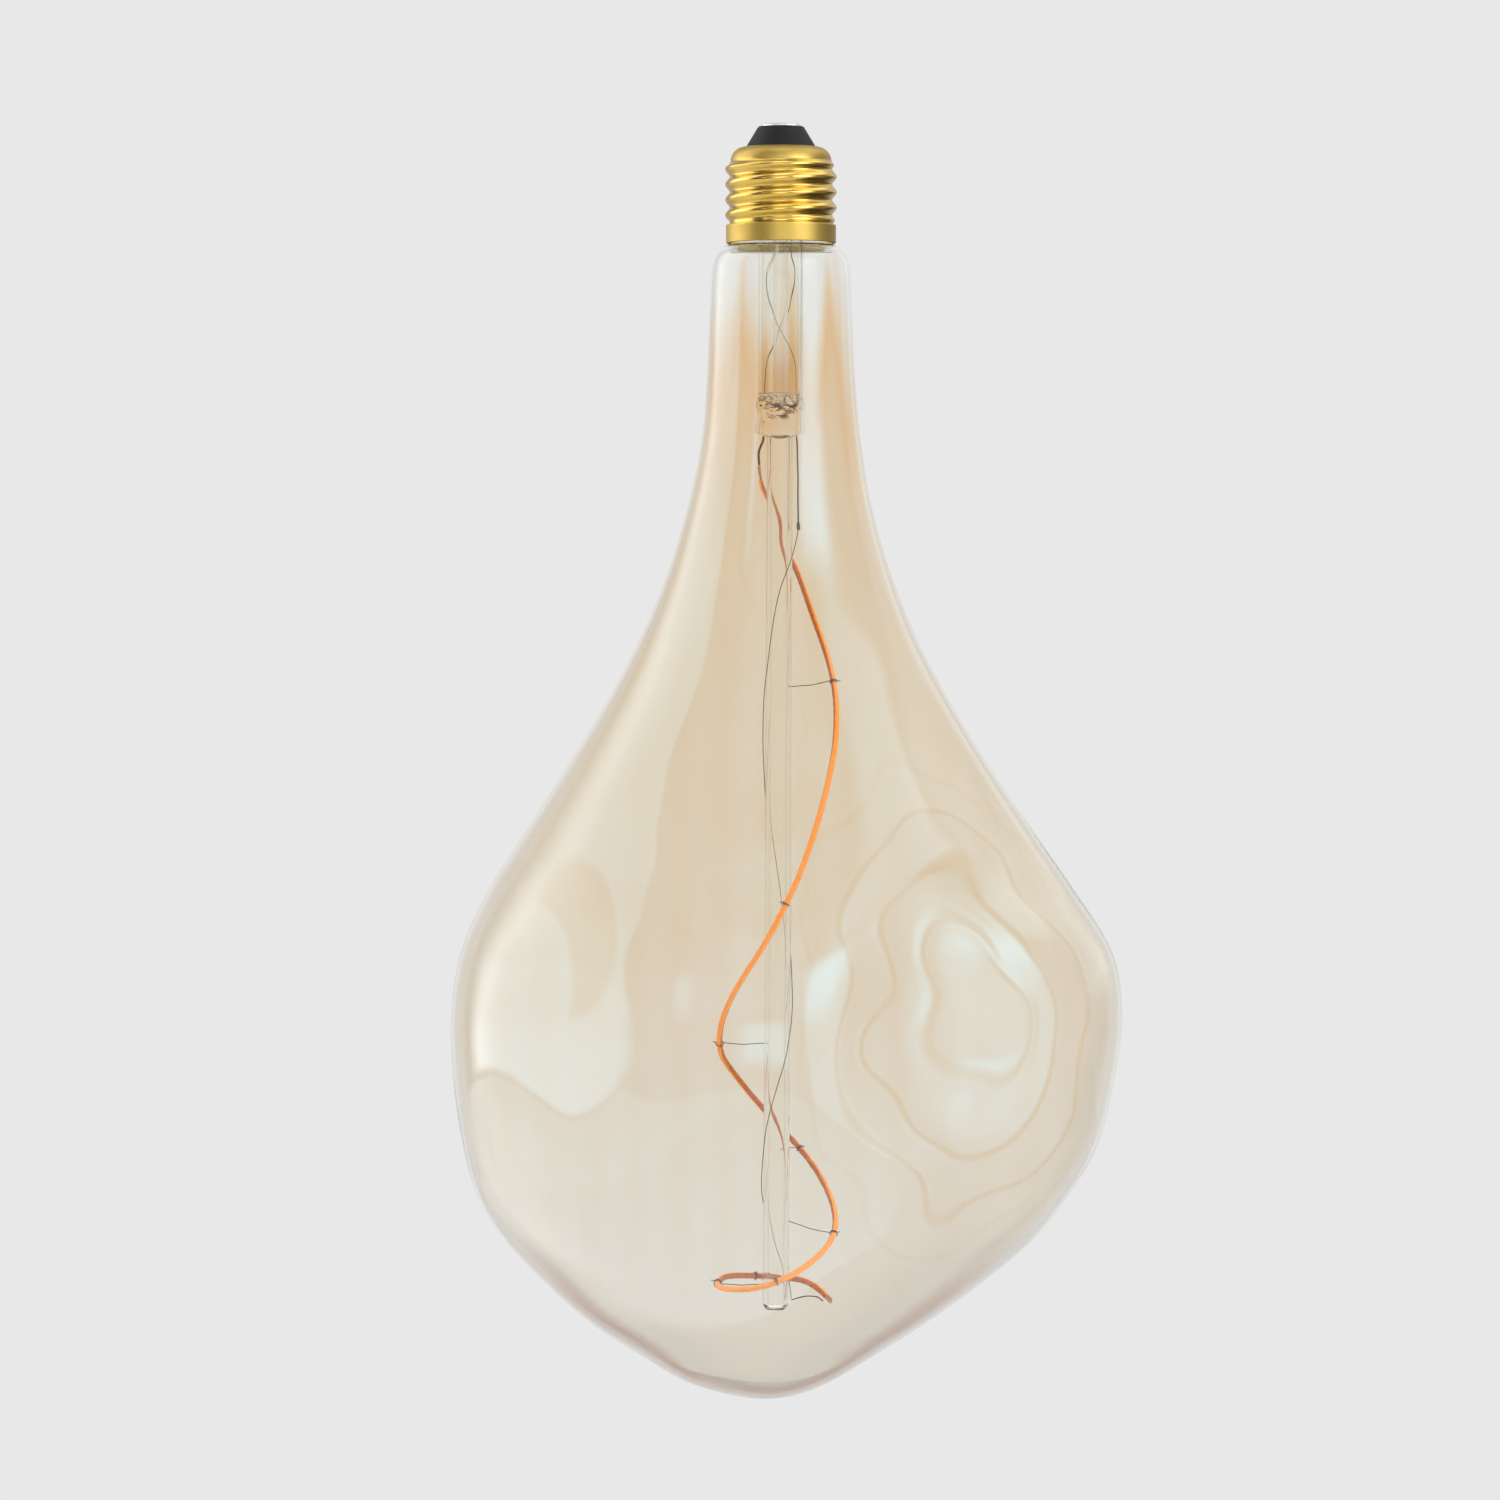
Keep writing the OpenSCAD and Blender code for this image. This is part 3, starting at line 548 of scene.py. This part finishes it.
def bump(nt, bsdf, height, strength, distance):
    b = nt.nodes.new("ShaderNodeBump")
    b.inputs["Strength"].default_value = strength
    b.inputs["Distance"].default_value = distance
    nt.links.new(height, b.inputs["Height"])
    nt.links.new(b.outputs[0], bsdf.inputs["Normal"])


def scaled(nt, value, low, high, start=0.0, end=1.0):
    """low where the value is start, high where it is end, and straight between them."""
    n = nt.nodes.new("ShaderNodeMapRange")
    n.inputs["From Min"].default_value = start
    n.inputs["From Max"].default_value = end
    n.inputs["To Min"].default_value = low
    n.inputs["To Max"].default_value = high
    nt.links.new(value, n.inputs["Value"])
    return n.outputs[0]


def plain_material(name, low, high, roughness=(0.35, 0.5), metallic=0.0, scale=900, bumps=0.1, ior=1.5,
                   stretch=None):
    m, nt, bsdf, out = material(name)
    n = noise_of(nt, scale, stretch=stretch)
    nt.links.new(ramp(nt, n, [(0.3, low), (0.7, high)]), bsdf.inputs["Base Color"])
    nt.links.new(scaled(nt, n, *roughness), bsdf.inputs["Roughness"])
    bsdf.inputs["Metallic"].default_value = metallic
    bsdf.inputs["IOR"].default_value = ior
    if bumps:
        bump(nt, bsdf, n, bumps, 0.00005)
    return m


def lit_through(nt, bsdf, out, tint):
    """Lets lamps and bounced light pass the glass to what it shuts in."""
    path = nt.nodes.new("ShaderNodeLightPath")
    either = node(nt, "ShaderNodeMath", operation="MAXIMUM")
    nt.links.new(path.outputs["Is Shadow Ray"], either.inputs[0])
    nt.links.new(path.outputs["Is Diffuse Ray"], either.inputs[1])
    clear = nt.nodes.new("ShaderNodeBsdfTransparent")
    clear.inputs[0].default_value = (*tint, 1)
    mix = nt.nodes.new("ShaderNodeMixShader")
    nt.links.new(either.outputs[0], mix.inputs[0])
    nt.links.new(bsdf.outputs[0], mix.inputs[1])
    nt.links.new(clear.outputs[0], mix.inputs[2])
    nt.links.new(mix.outputs[0], out.inputs[0])


def maths(nt, kind, a, b=0.0):
    n = node(nt, "ShaderNodeMath", operation=kind)
    for i, v in enumerate((a, b)):
        if isinstance(v, (int, float)):
            n.inputs[i].default_value = v
        else:
            nt.links.new(v, n.inputs[i])
    return n.outputs[0]


def distance_from(nt, place, centre, squash):
    """How far a place is from a centre, with each axis squashed by its own share."""
    away = node(nt, "ShaderNodeVectorMath", operation="SUBTRACT")
    away.inputs[1].default_value = centre
    nt.links.new(place, away.inputs[0])
    squashed = node(nt, "ShaderNodeVectorMath", operation="MULTIPLY")
    squashed.inputs[1].default_value = squash
    nt.links.new(away.outputs[0], squashed.inputs[0])
    reach = node(nt, "ShaderNodeVectorMath", operation="LENGTH")
    nt.links.new(squashed.outputs[0], reach.inputs[0])
    return reach.outputs["Value"]


def smooth(nt, value, low, high):
    """0 at low and 1 at high, with an eased change between them."""
    n = node(nt, "ShaderNodeMapRange", interpolation_type="SMOOTHSTEP")
    n.inputs["From Min"].default_value = low
    n.inputs["From Max"].default_value = high
    nt.links.new(value, n.inputs["Value"])
    return n.outputs[0]


def hand_ridges(nt, wave):
    """Height of the glass's slow waves and of the deep dent's folds, and where its amber lines run."""
    place = object_place(nt)
    warp = nt.nodes.new("ShaderNodeTexNoise")
    warp.inputs["Scale"].default_value = 26
    warp.inputs["Detail"].default_value = 1
    nt.links.new(place, warp.inputs["Vector"])
    pull = node(nt, "ShaderNodeVectorMath", operation="MULTIPLY_ADD")
    pull.inputs[1].default_value = (0.034, 0.034, 0.034)
    nt.links.new(warp.outputs["Color"], pull.inputs[0])
    nt.links.new(place, pull.inputs[2])
    reach = distance_from(nt, pull.outputs[0], (0.060, -0.044, -0.189), (1.0, 0.8, 0.66))
    folds = maths(nt, "SINE", maths(nt, "MULTIPLY", reach, 820.0))
    high = maths(nt, "POWER", maths(nt, "ADD", maths(nt, "MULTIPLY", folds, 0.5), 0.5), 2.0)
    near = smooth(nt, reach, 0.040, 0.016)
    height = maths(nt, "MULTIPLY", high, maths(nt, "MULTIPLY", near, 0.42))
    height = maths(nt, "ADD", height, maths(nt, "MULTIPLY", wave, 0.2))
    lines = maths(nt, "MULTIPLY", smooth(nt, folds, 0.80, 1.0), smooth(nt, reach, 0.046, 0.030))
    hook_squash = (1.0, 0.2, 0.56)
    hook = smooth(nt, distance_from(nt, place, (-0.048, -0.060, -0.190), hook_squash), 0.0115, 0.0095)
    core = smooth(nt, distance_from(nt, place, (-0.0585, -0.055, -0.2005), hook_squash), 0.0100, 0.0115)
    lines = maths(nt, "MAXIMUM", lines, maths(nt, "MULTIPLY", hook, core))
    return height, lines


def amber_glass():
    """Clear at the neck, then amber in tongues that pale towards the bottom, with painted shade darkening the
    colour along the outline near the bottom.
    """
    m, nt, bsdf, out = material("amber_lustre_glass")
    axes = object_axes(nt)
    streak = noise_of(nt, 150, detail=2, stretch=(1, 1, 0.07))
    tongues = maths(nt, "COSINE", maths(nt, "MULTIPLY", maths(nt, "ADD", axes["X"], 0.0085), 613.0))
    shifted = maths(nt, "ADD", maths(nt, "MULTIPLY", streak, 0.05), axes["Z"])
    shifted = maths(nt, "SUBTRACT", shifted, maths(nt, "MULTIPLY", tongues, 0.009))
    grade = scaled(nt, shifted, 0, 1, 0.0, -0.28)
    colour = ramp(nt, grade, [
        (0.0, (0.975, 0.972, 0.95)), (0.05, (0.97, 0.965, 0.935)), (0.09, (0.955, 0.85, 0.70)),
        (0.12, (0.945, 0.785, 0.585)), (0.155, (0.943, 0.81, 0.635)), (0.226, (0.938, 0.845, 0.70)),
        (0.375, (0.937, 0.86, 0.73)), (0.575, (0.943, 0.88, 0.77)), (0.875, (0.955, 0.928, 0.868)),
    ])
    height, lines = hand_ridges(nt, noise_of(nt, 14, detail=1))
    lined = mixed(nt, maths(nt, "MULTIPLY", lines, 0.75), colour, (0.965, 0.875, 0.75), "MULTIPLY")
    # painted shade: near the bottom, the colour turns mauve-brown where the surface turns away from view
    # along the outline
    edge = nt.nodes.new("ShaderNodeLayerWeight")
    rim = maths(nt, "MULTIPLY", smooth(nt, edge.outputs["Facing"], 0.63, 0.75),
                smooth(nt, edge.outputs["Facing"], 0.91, 0.83))
    rim = maths(nt, "MULTIPLY", rim, smooth(nt, axes["Z"], -0.255, -0.280))
    outline_shade_painted = mixed(nt, rim, lined, (0.72, 0.54, 0.47), "MULTIPLY")
    nt.links.new(outline_shade_painted, bsdf.inputs["Base Color"])
    shine = ramp(nt, grade, [
        (0.0, (0.16, 0.21, 0.22)), (0.05, (0.16, 0.25, 0.27)), (0.11, (0.15, 0.56, 0.88)),
        (0.375, (0.11, 0.54, 0.80)), (0.655, (0.12, 0.47, 0.66)),
    ])
    nt.links.new(shine, bsdf.inputs["Specular Tint"])
    bsdf.inputs["Transmission Weight"].default_value = 1.0
    bsdf.inputs["Roughness"].default_value = 0.0
    bsdf.inputs["IOR"].default_value = 1.52
    bsdf.inputs["Specular IOR Level"].default_value = 0.9
    bump(nt, bsdf, height, 0.6, 0.001)
    lit_through(nt, bsdf, out, (0.97, 0.92, 0.82))
    return m


def clear_glass(name, tint=(0.985, 0.99, 0.98), ior=1.5, wavy=0.2):
    m, nt, bsdf, out = material(name)
    n = noise_of(nt, 260, detail=1, stretch=(1, 1, 0.04))
    paler = (min(1, tint[0] + 0.01), 1, 0.99)
    nt.links.new(ramp(nt, n, [(0.2, tint), (0.8, paler)]), bsdf.inputs["Base Color"])
    bsdf.inputs["Transmission Weight"].default_value = 1.0
    bsdf.inputs["Roughness"].default_value = 0.0
    bsdf.inputs["IOR"].default_value = ior
    bump(nt, bsdf, n, wavy, 0.001)
    lit_through(nt, bsdf, out, (0.97, 0.98, 0.97))
    return m


def browned(m, share, brown):
    """Gives a clear glass a second colour where share says so."""
    nt = m.node_tree
    bsdf = next(n for n in nt.nodes if n.type == "BSDF_PRINCIPLED")
    clear = bsdf.inputs["Base Color"].links[0].from_socket
    nt.links.new(mixed(nt, share, clear, brown), bsdf.inputs["Base Color"])
    return m


def flare_glass():
    """Clear glass that browns in streaks towards the press, as heat left it."""
    m = clear_glass("stem_flare_glass", tint=(0.97, 0.955, 0.92), wavy=0.35)
    nt = m.node_tree
    streaks = ramp(nt, noise_of(nt, 420, detail=2, stretch=(1, 1, 0.03)),
                   [(0.36, (0.88, 0.76, 0.58)), (0.60, (0.985, 0.955, 0.89))])
    return browned(m, smooth(nt, object_axes(nt)["Z"], -0.045, -0.060), streaks)


def press_glass():
    """Clear glass, browned where the vent hole was blown through the hot press."""
    m = clear_glass("press_clear_glass", tint=(0.95, 0.89, 0.80), wavy=0.3)
    nt = m.node_tree
    reach = distance_from(nt, object_place(nt), (0.0, 0.0, -0.0673), (0.28, 0.2, 0.5))
    blots = ramp(nt, noise_of(nt, 700, detail=2, stretch=(0.7, 1, 1.5)),
                 [(0.54, (0, 0, 0)), (0.60, (1, 1, 1))])
    return browned(m, maths(nt, "MULTIPLY", smooth(nt, reach, 0.0014, 0.0010), blots), (0.16, 0.075, 0.03))


def brass():
    """Bright on the rolled thread, satin on the shoulder and the skirt."""
    m, nt, bsdf, out = material("rolled_brass")
    # satin is 1 and bright is 0, from the skirt's end up to the cap's top
    bands = [(0.0, 1), (0.195, 1), (0.21, 0), (0.69, 0), (0.73, 1), (1.0, 1)]
    height = scaled(nt, object_axes(nt)["Z"], 0, 1, -0.030, 0.0)
    dull = ramp(nt, height, [(at, (value, value, value)) for at, value in bands])
    grain = noise_of(nt, 420, detail=4, stretch=(1, 1, 3))
    cloud = noise_of(nt, 110, detail=2)
    bright_tone = ramp(nt, cloud, [(0.25, (0.42, 0.275, 0.055)), (0.75, (0.50, 0.34, 0.085))])
    satin_tone = ramp(nt, cloud, [(0.25, (0.32, 0.22, 0.05)), (0.75, (0.38, 0.265, 0.07))])
    nt.links.new(mixed(nt, dull, bright_tone, satin_tone), bsdf.inputs["Base Color"])
    bsdf.inputs["Metallic"].default_value = 1.0
    mix = node(nt, "ShaderNodeMix", data_type="FLOAT")
    nt.links.new(dull, mix.inputs[0])
    nt.links.new(scaled(nt, grain, 0.19, 0.31), mix.inputs[2])
    nt.links.new(scaled(nt, grain, 0.42, 0.55), mix.inputs[3])
    nt.links.new(mix.outputs[0], bsdf.inputs["Roughness"])
    bump(nt, bsdf, grain, 0.12, 0.00005)
    return m


def phosphor():
    """Orange where the coat faces out of the coil, browner with the chips' dots where it faces in."""
    m, nt, bsdf, out = material("orange_phosphor")
    geometry = nt.nodes.new("ShaderNodeNewGeometry")
    flat = node(nt, "ShaderNodeVectorMath", operation="MULTIPLY")
    flat.inputs[1].default_value = (1, 1, 0)
    nt.links.new(geometry.outputs["Position"], flat.inputs[0])
    unit = node(nt, "ShaderNodeVectorMath", operation="NORMALIZE")
    nt.links.new(flat.outputs[0], unit.inputs[0])
    facing = node(nt, "ShaderNodeVectorMath", operation="DOT_PRODUCT")
    nt.links.new(unit.outputs[0], facing.inputs[0])
    nt.links.new(geometry.outputs["Normal"], facing.inputs[1])
    outward = smooth(nt, facing.outputs["Value"], -0.75, -0.1)
    fine = noise_of(nt, 1500, detail=2)
    orange = ramp(nt, fine, [(0.3, (0.90, 0.36, 0.08)), (0.7, (0.97, 0.45, 0.13))])
    brown = ramp(nt, noise_of(nt, 2400, detail=1), [(0.42, (0.36, 0.11, 0.03)), (0.6, (0.60, 0.20, 0.05))])
    nt.links.new(mixed(nt, outward, brown, orange), bsdf.inputs["Base Color"])
    bsdf.inputs["Roughness"].default_value = 0.42
    bsdf.inputs["Subsurface Weight"].default_value = 0.15
    bsdf.inputs["Subsurface Radius"].default_value = (1.0, 0.45, 0.15)
    bsdf.inputs["Subsurface Scale"].default_value = 0.0004
    bump(nt, bsdf, fine, 0.2, 0.00005)
    return m


amber = amber_glass()
stem_clear = clear_glass("stem_clear_glass", tint=(0.985, 0.98, 0.965))
flare_clear = flare_glass()
press_clear = press_glass()
brass_mat = brass()
black = plain_material("black_vitrite", (0.004, 0.004, 0.005),
                       (0.009, 0.009, 0.010), (0.5, 0.65), scale=1400, bumps=0.35, ior=1.25)
contact = plain_material("tinned_contact", (0.5, 0.5, 0.47),
                         (0.66, 0.66, 0.62), (0.3, 0.5), 1.0, scale=700, bumps=0.3)
cement = plain_material("baked_cement", (0.60, 0.53, 0.30),
                        (0.74, 0.67, 0.42), (0.8, 0.95), scale=1500, bumps=0.6)
wire = plain_material("dark_wire", (0.12, 0.07, 0.04),
                      (0.20, 0.13, 0.085), (0.4, 0.55), 0.4, scale=2500, bumps=0.1)
pale_wire = plain_material("pale_lead", (0.45, 0.4, 0.34),
                           (0.62, 0.56, 0.48), (0.35, 0.5), 0.6, scale=2500, bumps=0.1)
seal = plain_material("sealed_copper", (0.74, 0.60, 0.42), (0.82, 0.68, 0.50), (0.35, 0.5), 0.2, scale=2500)
copper = plain_material("copper_wire", (0.16, 0.08, 0.04), (0.24, 0.13, 0.07), (0.4, 0.55), 0.6, scale=2500)
terminal = plain_material("plated_terminal", (0.46, 0.24, 0.17),
                          (0.60, 0.35, 0.26), (0.35, 0.5), 0.25, scale=1800, bumps=0.2)
white_sleeve = plain_material("white_sleeving", (0.72, 0.71, 0.66),
                              (0.85, 0.84, 0.8), (0.6, 0.75), scale=2600, bumps=0.5)
flex = plain_material("copper_flex", (0.42, 0.2, 0.09),
                      (0.56, 0.3, 0.15), (0.4, 0.55), scale=2200, bumps=0.2)
chip = plain_material("led_chip", (0.1, 0.13, 0.2), (0.2, 0.25, 0.36), (0.1, 0.2), scale=3200, bumps=0.05)
board = plain_material("green_board", (0.01, 0.09, 0.03),
                       (0.02, 0.14, 0.05), (0.3, 0.45), scale=800, bumps=0.2)
package = plain_material("black_package", (0.014, 0.014, 0.016),
                         (0.03, 0.03, 0.034), (0.5, 0.65), scale=2400, bumps=0.4)
resistor = plain_material("lacquered_body", (0.4, 0.3, 0.14),
                          (0.5, 0.4, 0.22), (0.25, 0.4), scale=900, bumps=0.15)
capacitor = plain_material("shrunk_sleeve", (0.012, 0.014, 0.03),
                           (0.02, 0.024, 0.05), (0.25, 0.35), scale=500, bumps=0.1)
ferrite = plain_material("dark_ferrite", (0.02, 0.02, 0.02),
                         (0.05, 0.05, 0.05), (0.6, 0.8), scale=2600, bumps=0.4)
radio = plain_material("blue_board", (0.008, 0.02, 0.09),
                       (0.012, 0.035, 0.14), (0.3, 0.45), scale=900, bumps=0.2)
shield = plain_material("tinned_shield", (0.5, 0.51, 0.52),
                        (0.64, 0.65, 0.66), (0.25, 0.4), 1.0, scale=600, bumps=0.15, stretch=(1, 6, 1))
red = plain_material("red_insulation", (0.32, 0.01, 0.008),
                     (0.42, 0.02, 0.015), (0.35, 0.5), scale=1500, bumps=0.15)
solder = plain_material("solder", (0.6, 0.6, 0.6),
                        (0.74, 0.74, 0.73), (0.2, 0.35), 1.0, scale=1500, bumps=0.3)

KEPT = {
    "cap_insulator": black, "centre_contact": contact, "capping_cement": cement,
    "stem_flare": flare_clear, "exhaust_tube": stem_clear, "support_tube": stem_clear,
    "seal_wires": seal, "lead_sleeve": white_sleeve, "lead_crimp": wire,
    "filament_strip": flex, "filament_chips": chip, "top_terminal": terminal, "bottom_terminal": terminal,
    "driver_board": board, "bridge_rectifier": package, "driver_chip": package, "fusible_resistor": resistor,
    "smoothing_capacitor": capacitor, "choke": ferrite, "radio_module": radio, "radio_shield": shield,
    "radio_aerial": copper, "live_wire": red, "neutral_wire": white_sleeve, "neutral_solder": solder,
}
for name, mat in KEPT.items():
    ob = frame["nodes"][name]
    ob = ob if hasattr(ob, "data") else bpy.data.objects[ob]
    if ob.material_slots:
        for slot in ob.material_slots:
            slot.material = mat
    else:
        ob.data.materials.append(mat)


def dress(ob, mat, *nodes):
    ob.data.materials.append(mat)
    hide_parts(*nodes)


dress(envelope(), amber, "glass_envelope")
dress(cap_shell(), brass_mat, "cap_shell")
dress(stem_press(), press_clear, "stem_press")
dress(filament(), phosphor(), "filament_coat")
# Wires: piece, path, radius, sides, material, the node it stands for
pale_path = wandering([down(p) for p in along(LEFT_LEAD, 90)], 0.2, 1.0)
dark_path = wandering([down(p) for p in along(RIGHT_LEAD, 90)], 0.2, 4.0)
short_path = [down(p) for p in along(INNER_LEFT, 40)]
long_path = wandering([down(p) for p in along(INNER_RIGHT, 50)], 0.12, 7.0)
return_path = wandering([around(s) for s in along(RETURN, 260)], 0.25, 9.0, 11.0)
tie_path = wandering([down(p) for p in along(TIE, 50)], 0.15, 12.0, 2.0)
for piece, path, radius, sides, mat, replaced in (
    ("outer_lead_pale", pale_path, 0.14, 10, pale_wire, "outer_lead_left"),
    ("outer_lead_dark", dark_path, 0.11, 10, wire, "outer_lead_right"),
    ("inner_lead_short", short_path, 0.3, 12, wire, "inner_lead_left"),
    ("inner_lead_long", long_path, 0.2, 12, wire, "inner_lead_right"),
    ("return_wire_fine", return_path, 0.1, 8, wire, "return_wire"),
    ("bottom_tie_wire", tie_path, 0.16, 10, wire, "bottom_tie"),
):
    dress(tube_piece(piece, path, radius, sides, "steel_wire"), mat, replaced)
for i in range(len(ANCHORS)):
    dress(anchor(i), wire, "anchor_%d" % (i + 1))

# ---------------------------------------------------------------- stage, lights, camera
scene.view_settings.view_transform = "Standard"
scene.view_settings.look = "None"
scene.cycles.max_bounces = 28
scene.cycles.transmission_bounces = 28
scene.cycles.glossy_bounces = 10
scene.cycles.transparent_max_bounces = 32
scene.cycles.use_denoising = True

CENTRE = Vector((-0.0073, 0, -0.1474))
CAMERA_DISTANCE, VIEW_WIDTH, SENSOR = 2.0, 0.35325, 36
FLOOR_LEVEL, FLOOR_R = -1.2, 6
BACKDROP = 0.807
FILL = 0.62
ROOM = 0.10
# What the glass and the brass mirror, in degrees from the camera's side, to the right and up: strength, then
# the turn and the rise as (from, to, softness) or (from, to, softness at the start, softness at the end)
MIRRORED = [
    [2.5, (-130, -70, 14, 1.5), (6, 74, 6, 10)],
    [2.6, (-128, -68, 10, 4), (-8, 10, 1.5, 6)],
    [1.0, (-130, -74, 14, 6), (12, 40, 6, 10)],
    [1.6, (-130, -76, 10, 4), (-8, 2, 1.5, 5)],
    [3.4, (29, 66, 6, 12), (-21, 32, 2, 5)],
    [6.5, (27, 60, 8, 10), (10, 32, 8)],
    [5.6, (-14, 12, 5), (-13, 9, 4)],
    [3.8, (-42, -35, 3), (12, 31, 8)],
    [0.3, (66, 112, 10), (-30, 36, 8)],
    [1.3, (-30, 27, 10), (14, 62, 6, 8)],
    [2.6, (48, 140, 12), (36, 70, 4, 8)],
    [0.8, (112, 150, 8), (4, 36, 6)],
    [5.0, (-60, 60, 20), (70, 100, 6)],
]


def world():
    """A plain studio: pale backdrop and floor, a tall box on each side, and a dark room behind the camera."""
    w = bpy.data.worlds.new("studio")
    scene.world = w
    w.use_nodes = True
    nt = w.node_tree
    nt.nodes.clear()

    def product(a, b):
        return maths(nt, "MULTIPLY", a, b)

    def rest_of(share):
        return maths(nt, "SUBTRACT", 1.0, share)

    def band(value, low, high, soft_low, soft_high=None):
        soft_high = soft_low if soft_high is None else soft_high
        into = smooth(nt, value, low - soft_low, low + soft_low)
        past = smooth(nt, value, high - soft_high, high + soft_high)
        return product(into, rest_of(past))

    coord = nt.nodes.new("ShaderNodeTexCoord")
    split = nt.nodes.new("ShaderNodeSeparateXYZ")
    nt.links.new(coord.outputs["Generated"], split.inputs[0])
    x, y, z = split.outputs
    turn = product(maths(nt, "ARCTAN2", x, product(y, -1.0)), 180 / math.pi)
    rise = product(maths(nt, "ARCSINE", z), 180 / math.pi)
    wide = maths(nt, "ABSOLUTE", turn)

    parts = [product(product(band(turn, *turns), band(rise, *rises)), strength)
             for strength, turns, rises in MIRRORED]
    back = product(smooth(nt, wide, 125, 160), smooth(nt, rise, -55, -15))
    parts.append(product(back, 0.68))
    # the bright floor, whose far edge sinks from left to right
    skyline = scaled(nt, turn, -9.5, -22, -72, -46)
    below = maths(nt, "SUBTRACT", skyline, rise)
    ground = product(smooth(nt, below, -1, 1), rest_of(smooth(nt, wide, 125, 155)))
    ground = product(ground, rest_of(smooth(nt, turn, 56, 68)))
    parts.append(product(ground, 1.5))
    total = parts[0]
    for part in parts[1:]:
        total = maths(nt, "ADD", total, part)
    glossy_level = maths(nt, "ADD", total, ROOM)

    # through thick glass the room's uprights show as darker bars
    bars = maths(nt, "COSINE", product(maths(nt, "ADD", turn, 22.5), 8 * math.pi / 180))
    bars = smooth(nt, bars, 0.6, 0.95)
    steep = smooth(nt, maths(nt, "ABSOLUTE", rise), 25, 45)
    dark = maths(nt, "MAXIMUM", product(bars, 0.14), product(steep, 0.55))
    through_level = maths(nt, "SUBTRACT", BACKDROP, dark)

    out = nt.nodes.new("ShaderNodeOutputWorld")
    path = nt.nodes.new("ShaderNodeLightPath")

    def flat_light(level):
        n = node(nt, "ShaderNodeBackground")
        n.inputs["Color"].default_value = (1, 1, 1, 1)
        if isinstance(level, float):
            n.inputs["Strength"].default_value = level
        else:
            nt.links.new(level, n.inputs["Strength"])
        return n.outputs[0]

    def choose(factor, first, second):
        mix = nt.nodes.new("ShaderNodeMixShader")
        nt.links.new(factor, mix.inputs[0])
        nt.links.new(first, mix.inputs[1])
        nt.links.new(second, mix.inputs[2])
        return mix.outputs[0]

    seen = choose(path.outputs["Is Glossy Ray"], flat_light(FILL), flat_light(glossy_level))
    seen = choose(path.outputs["Is Transmission Ray"], seen, flat_light(through_level))
    seen = choose(path.outputs["Is Camera Ray"], seen, flat_light(BACKDROP))
    nt.links.new(seen, out.inputs[0])


def softbox(name, azimuth, elevation, distance, width, height, power):
    """A lamp that isn't seen itself. Azimuth is from the camera's side, to the right as it sees the part."""
    a, e = math.radians(azimuth), math.radians(elevation)
    at = CENTRE + distance * Vector((math.sin(a) * math.cos(e), -math.cos(a) * math.cos(e), math.sin(e)))
    light = bpy.data.lights.new(name, "AREA")
    light.shape = "RECTANGLE"
    light.size, light.size_y = width, height
    light.energy = power
    ob = bpy.data.objects.new(name, light)
    ob.matrix_world = Matrix.Translation(at) @ (CENTRE - at).to_track_quat("-Z", "Y").to_matrix().to_4x4()
    ob.visible_camera = False
    ob.visible_transmission = False
    ob.visible_glossy = False
    scene.collection.objects.link(ob)


world()
softbox("left_box", -98, 20, 1.7, 1.4, 1.9, 22)
softbox("right_box", 52, 15, 1.9, 1.3, 2.0, 26)
softbox("top_box", 10, 80, 1.9, 1.2, 1.2, 10)

floor_mesh = bpy.data.meshes.new("floor")
bm = bmesh.new()
bmesh.ops.create_circle(bm, cap_ends=True, segments=96, radius=FLOOR_R)
bm.to_mesh(floor_mesh)
bm.free()
floor = bpy.data.objects.new("floor", floor_mesh)
floor.location = (0, 0, FLOOR_LEVEL)
floor.visible_glossy = False
scene.collection.objects.link(floor)
pale = plain_material("pale_floor", (0.87, 0.87, 0.87), (0.89, 0.89, 0.89), (0.7, 0.8), scale=3, bumps=0)
floor.data.materials.append(pale)

cam = bpy.data.cameras.new("camera")
cam.sensor_width = SENSOR
cam.lens = SENSOR * CAMERA_DISTANCE / VIEW_WIDTH
cam.clip_start, cam.clip_end = 0.05, 50
camera = bpy.data.objects.new("camera", cam)
camera.location = CENTRE + Vector((0, -CAMERA_DISTANCE, 0))
camera.rotation_euler = (math.radians(90), 0, 0)
scene.collection.objects.link(camera)
scene.camera = camera

bpy.context.view_layer.update()
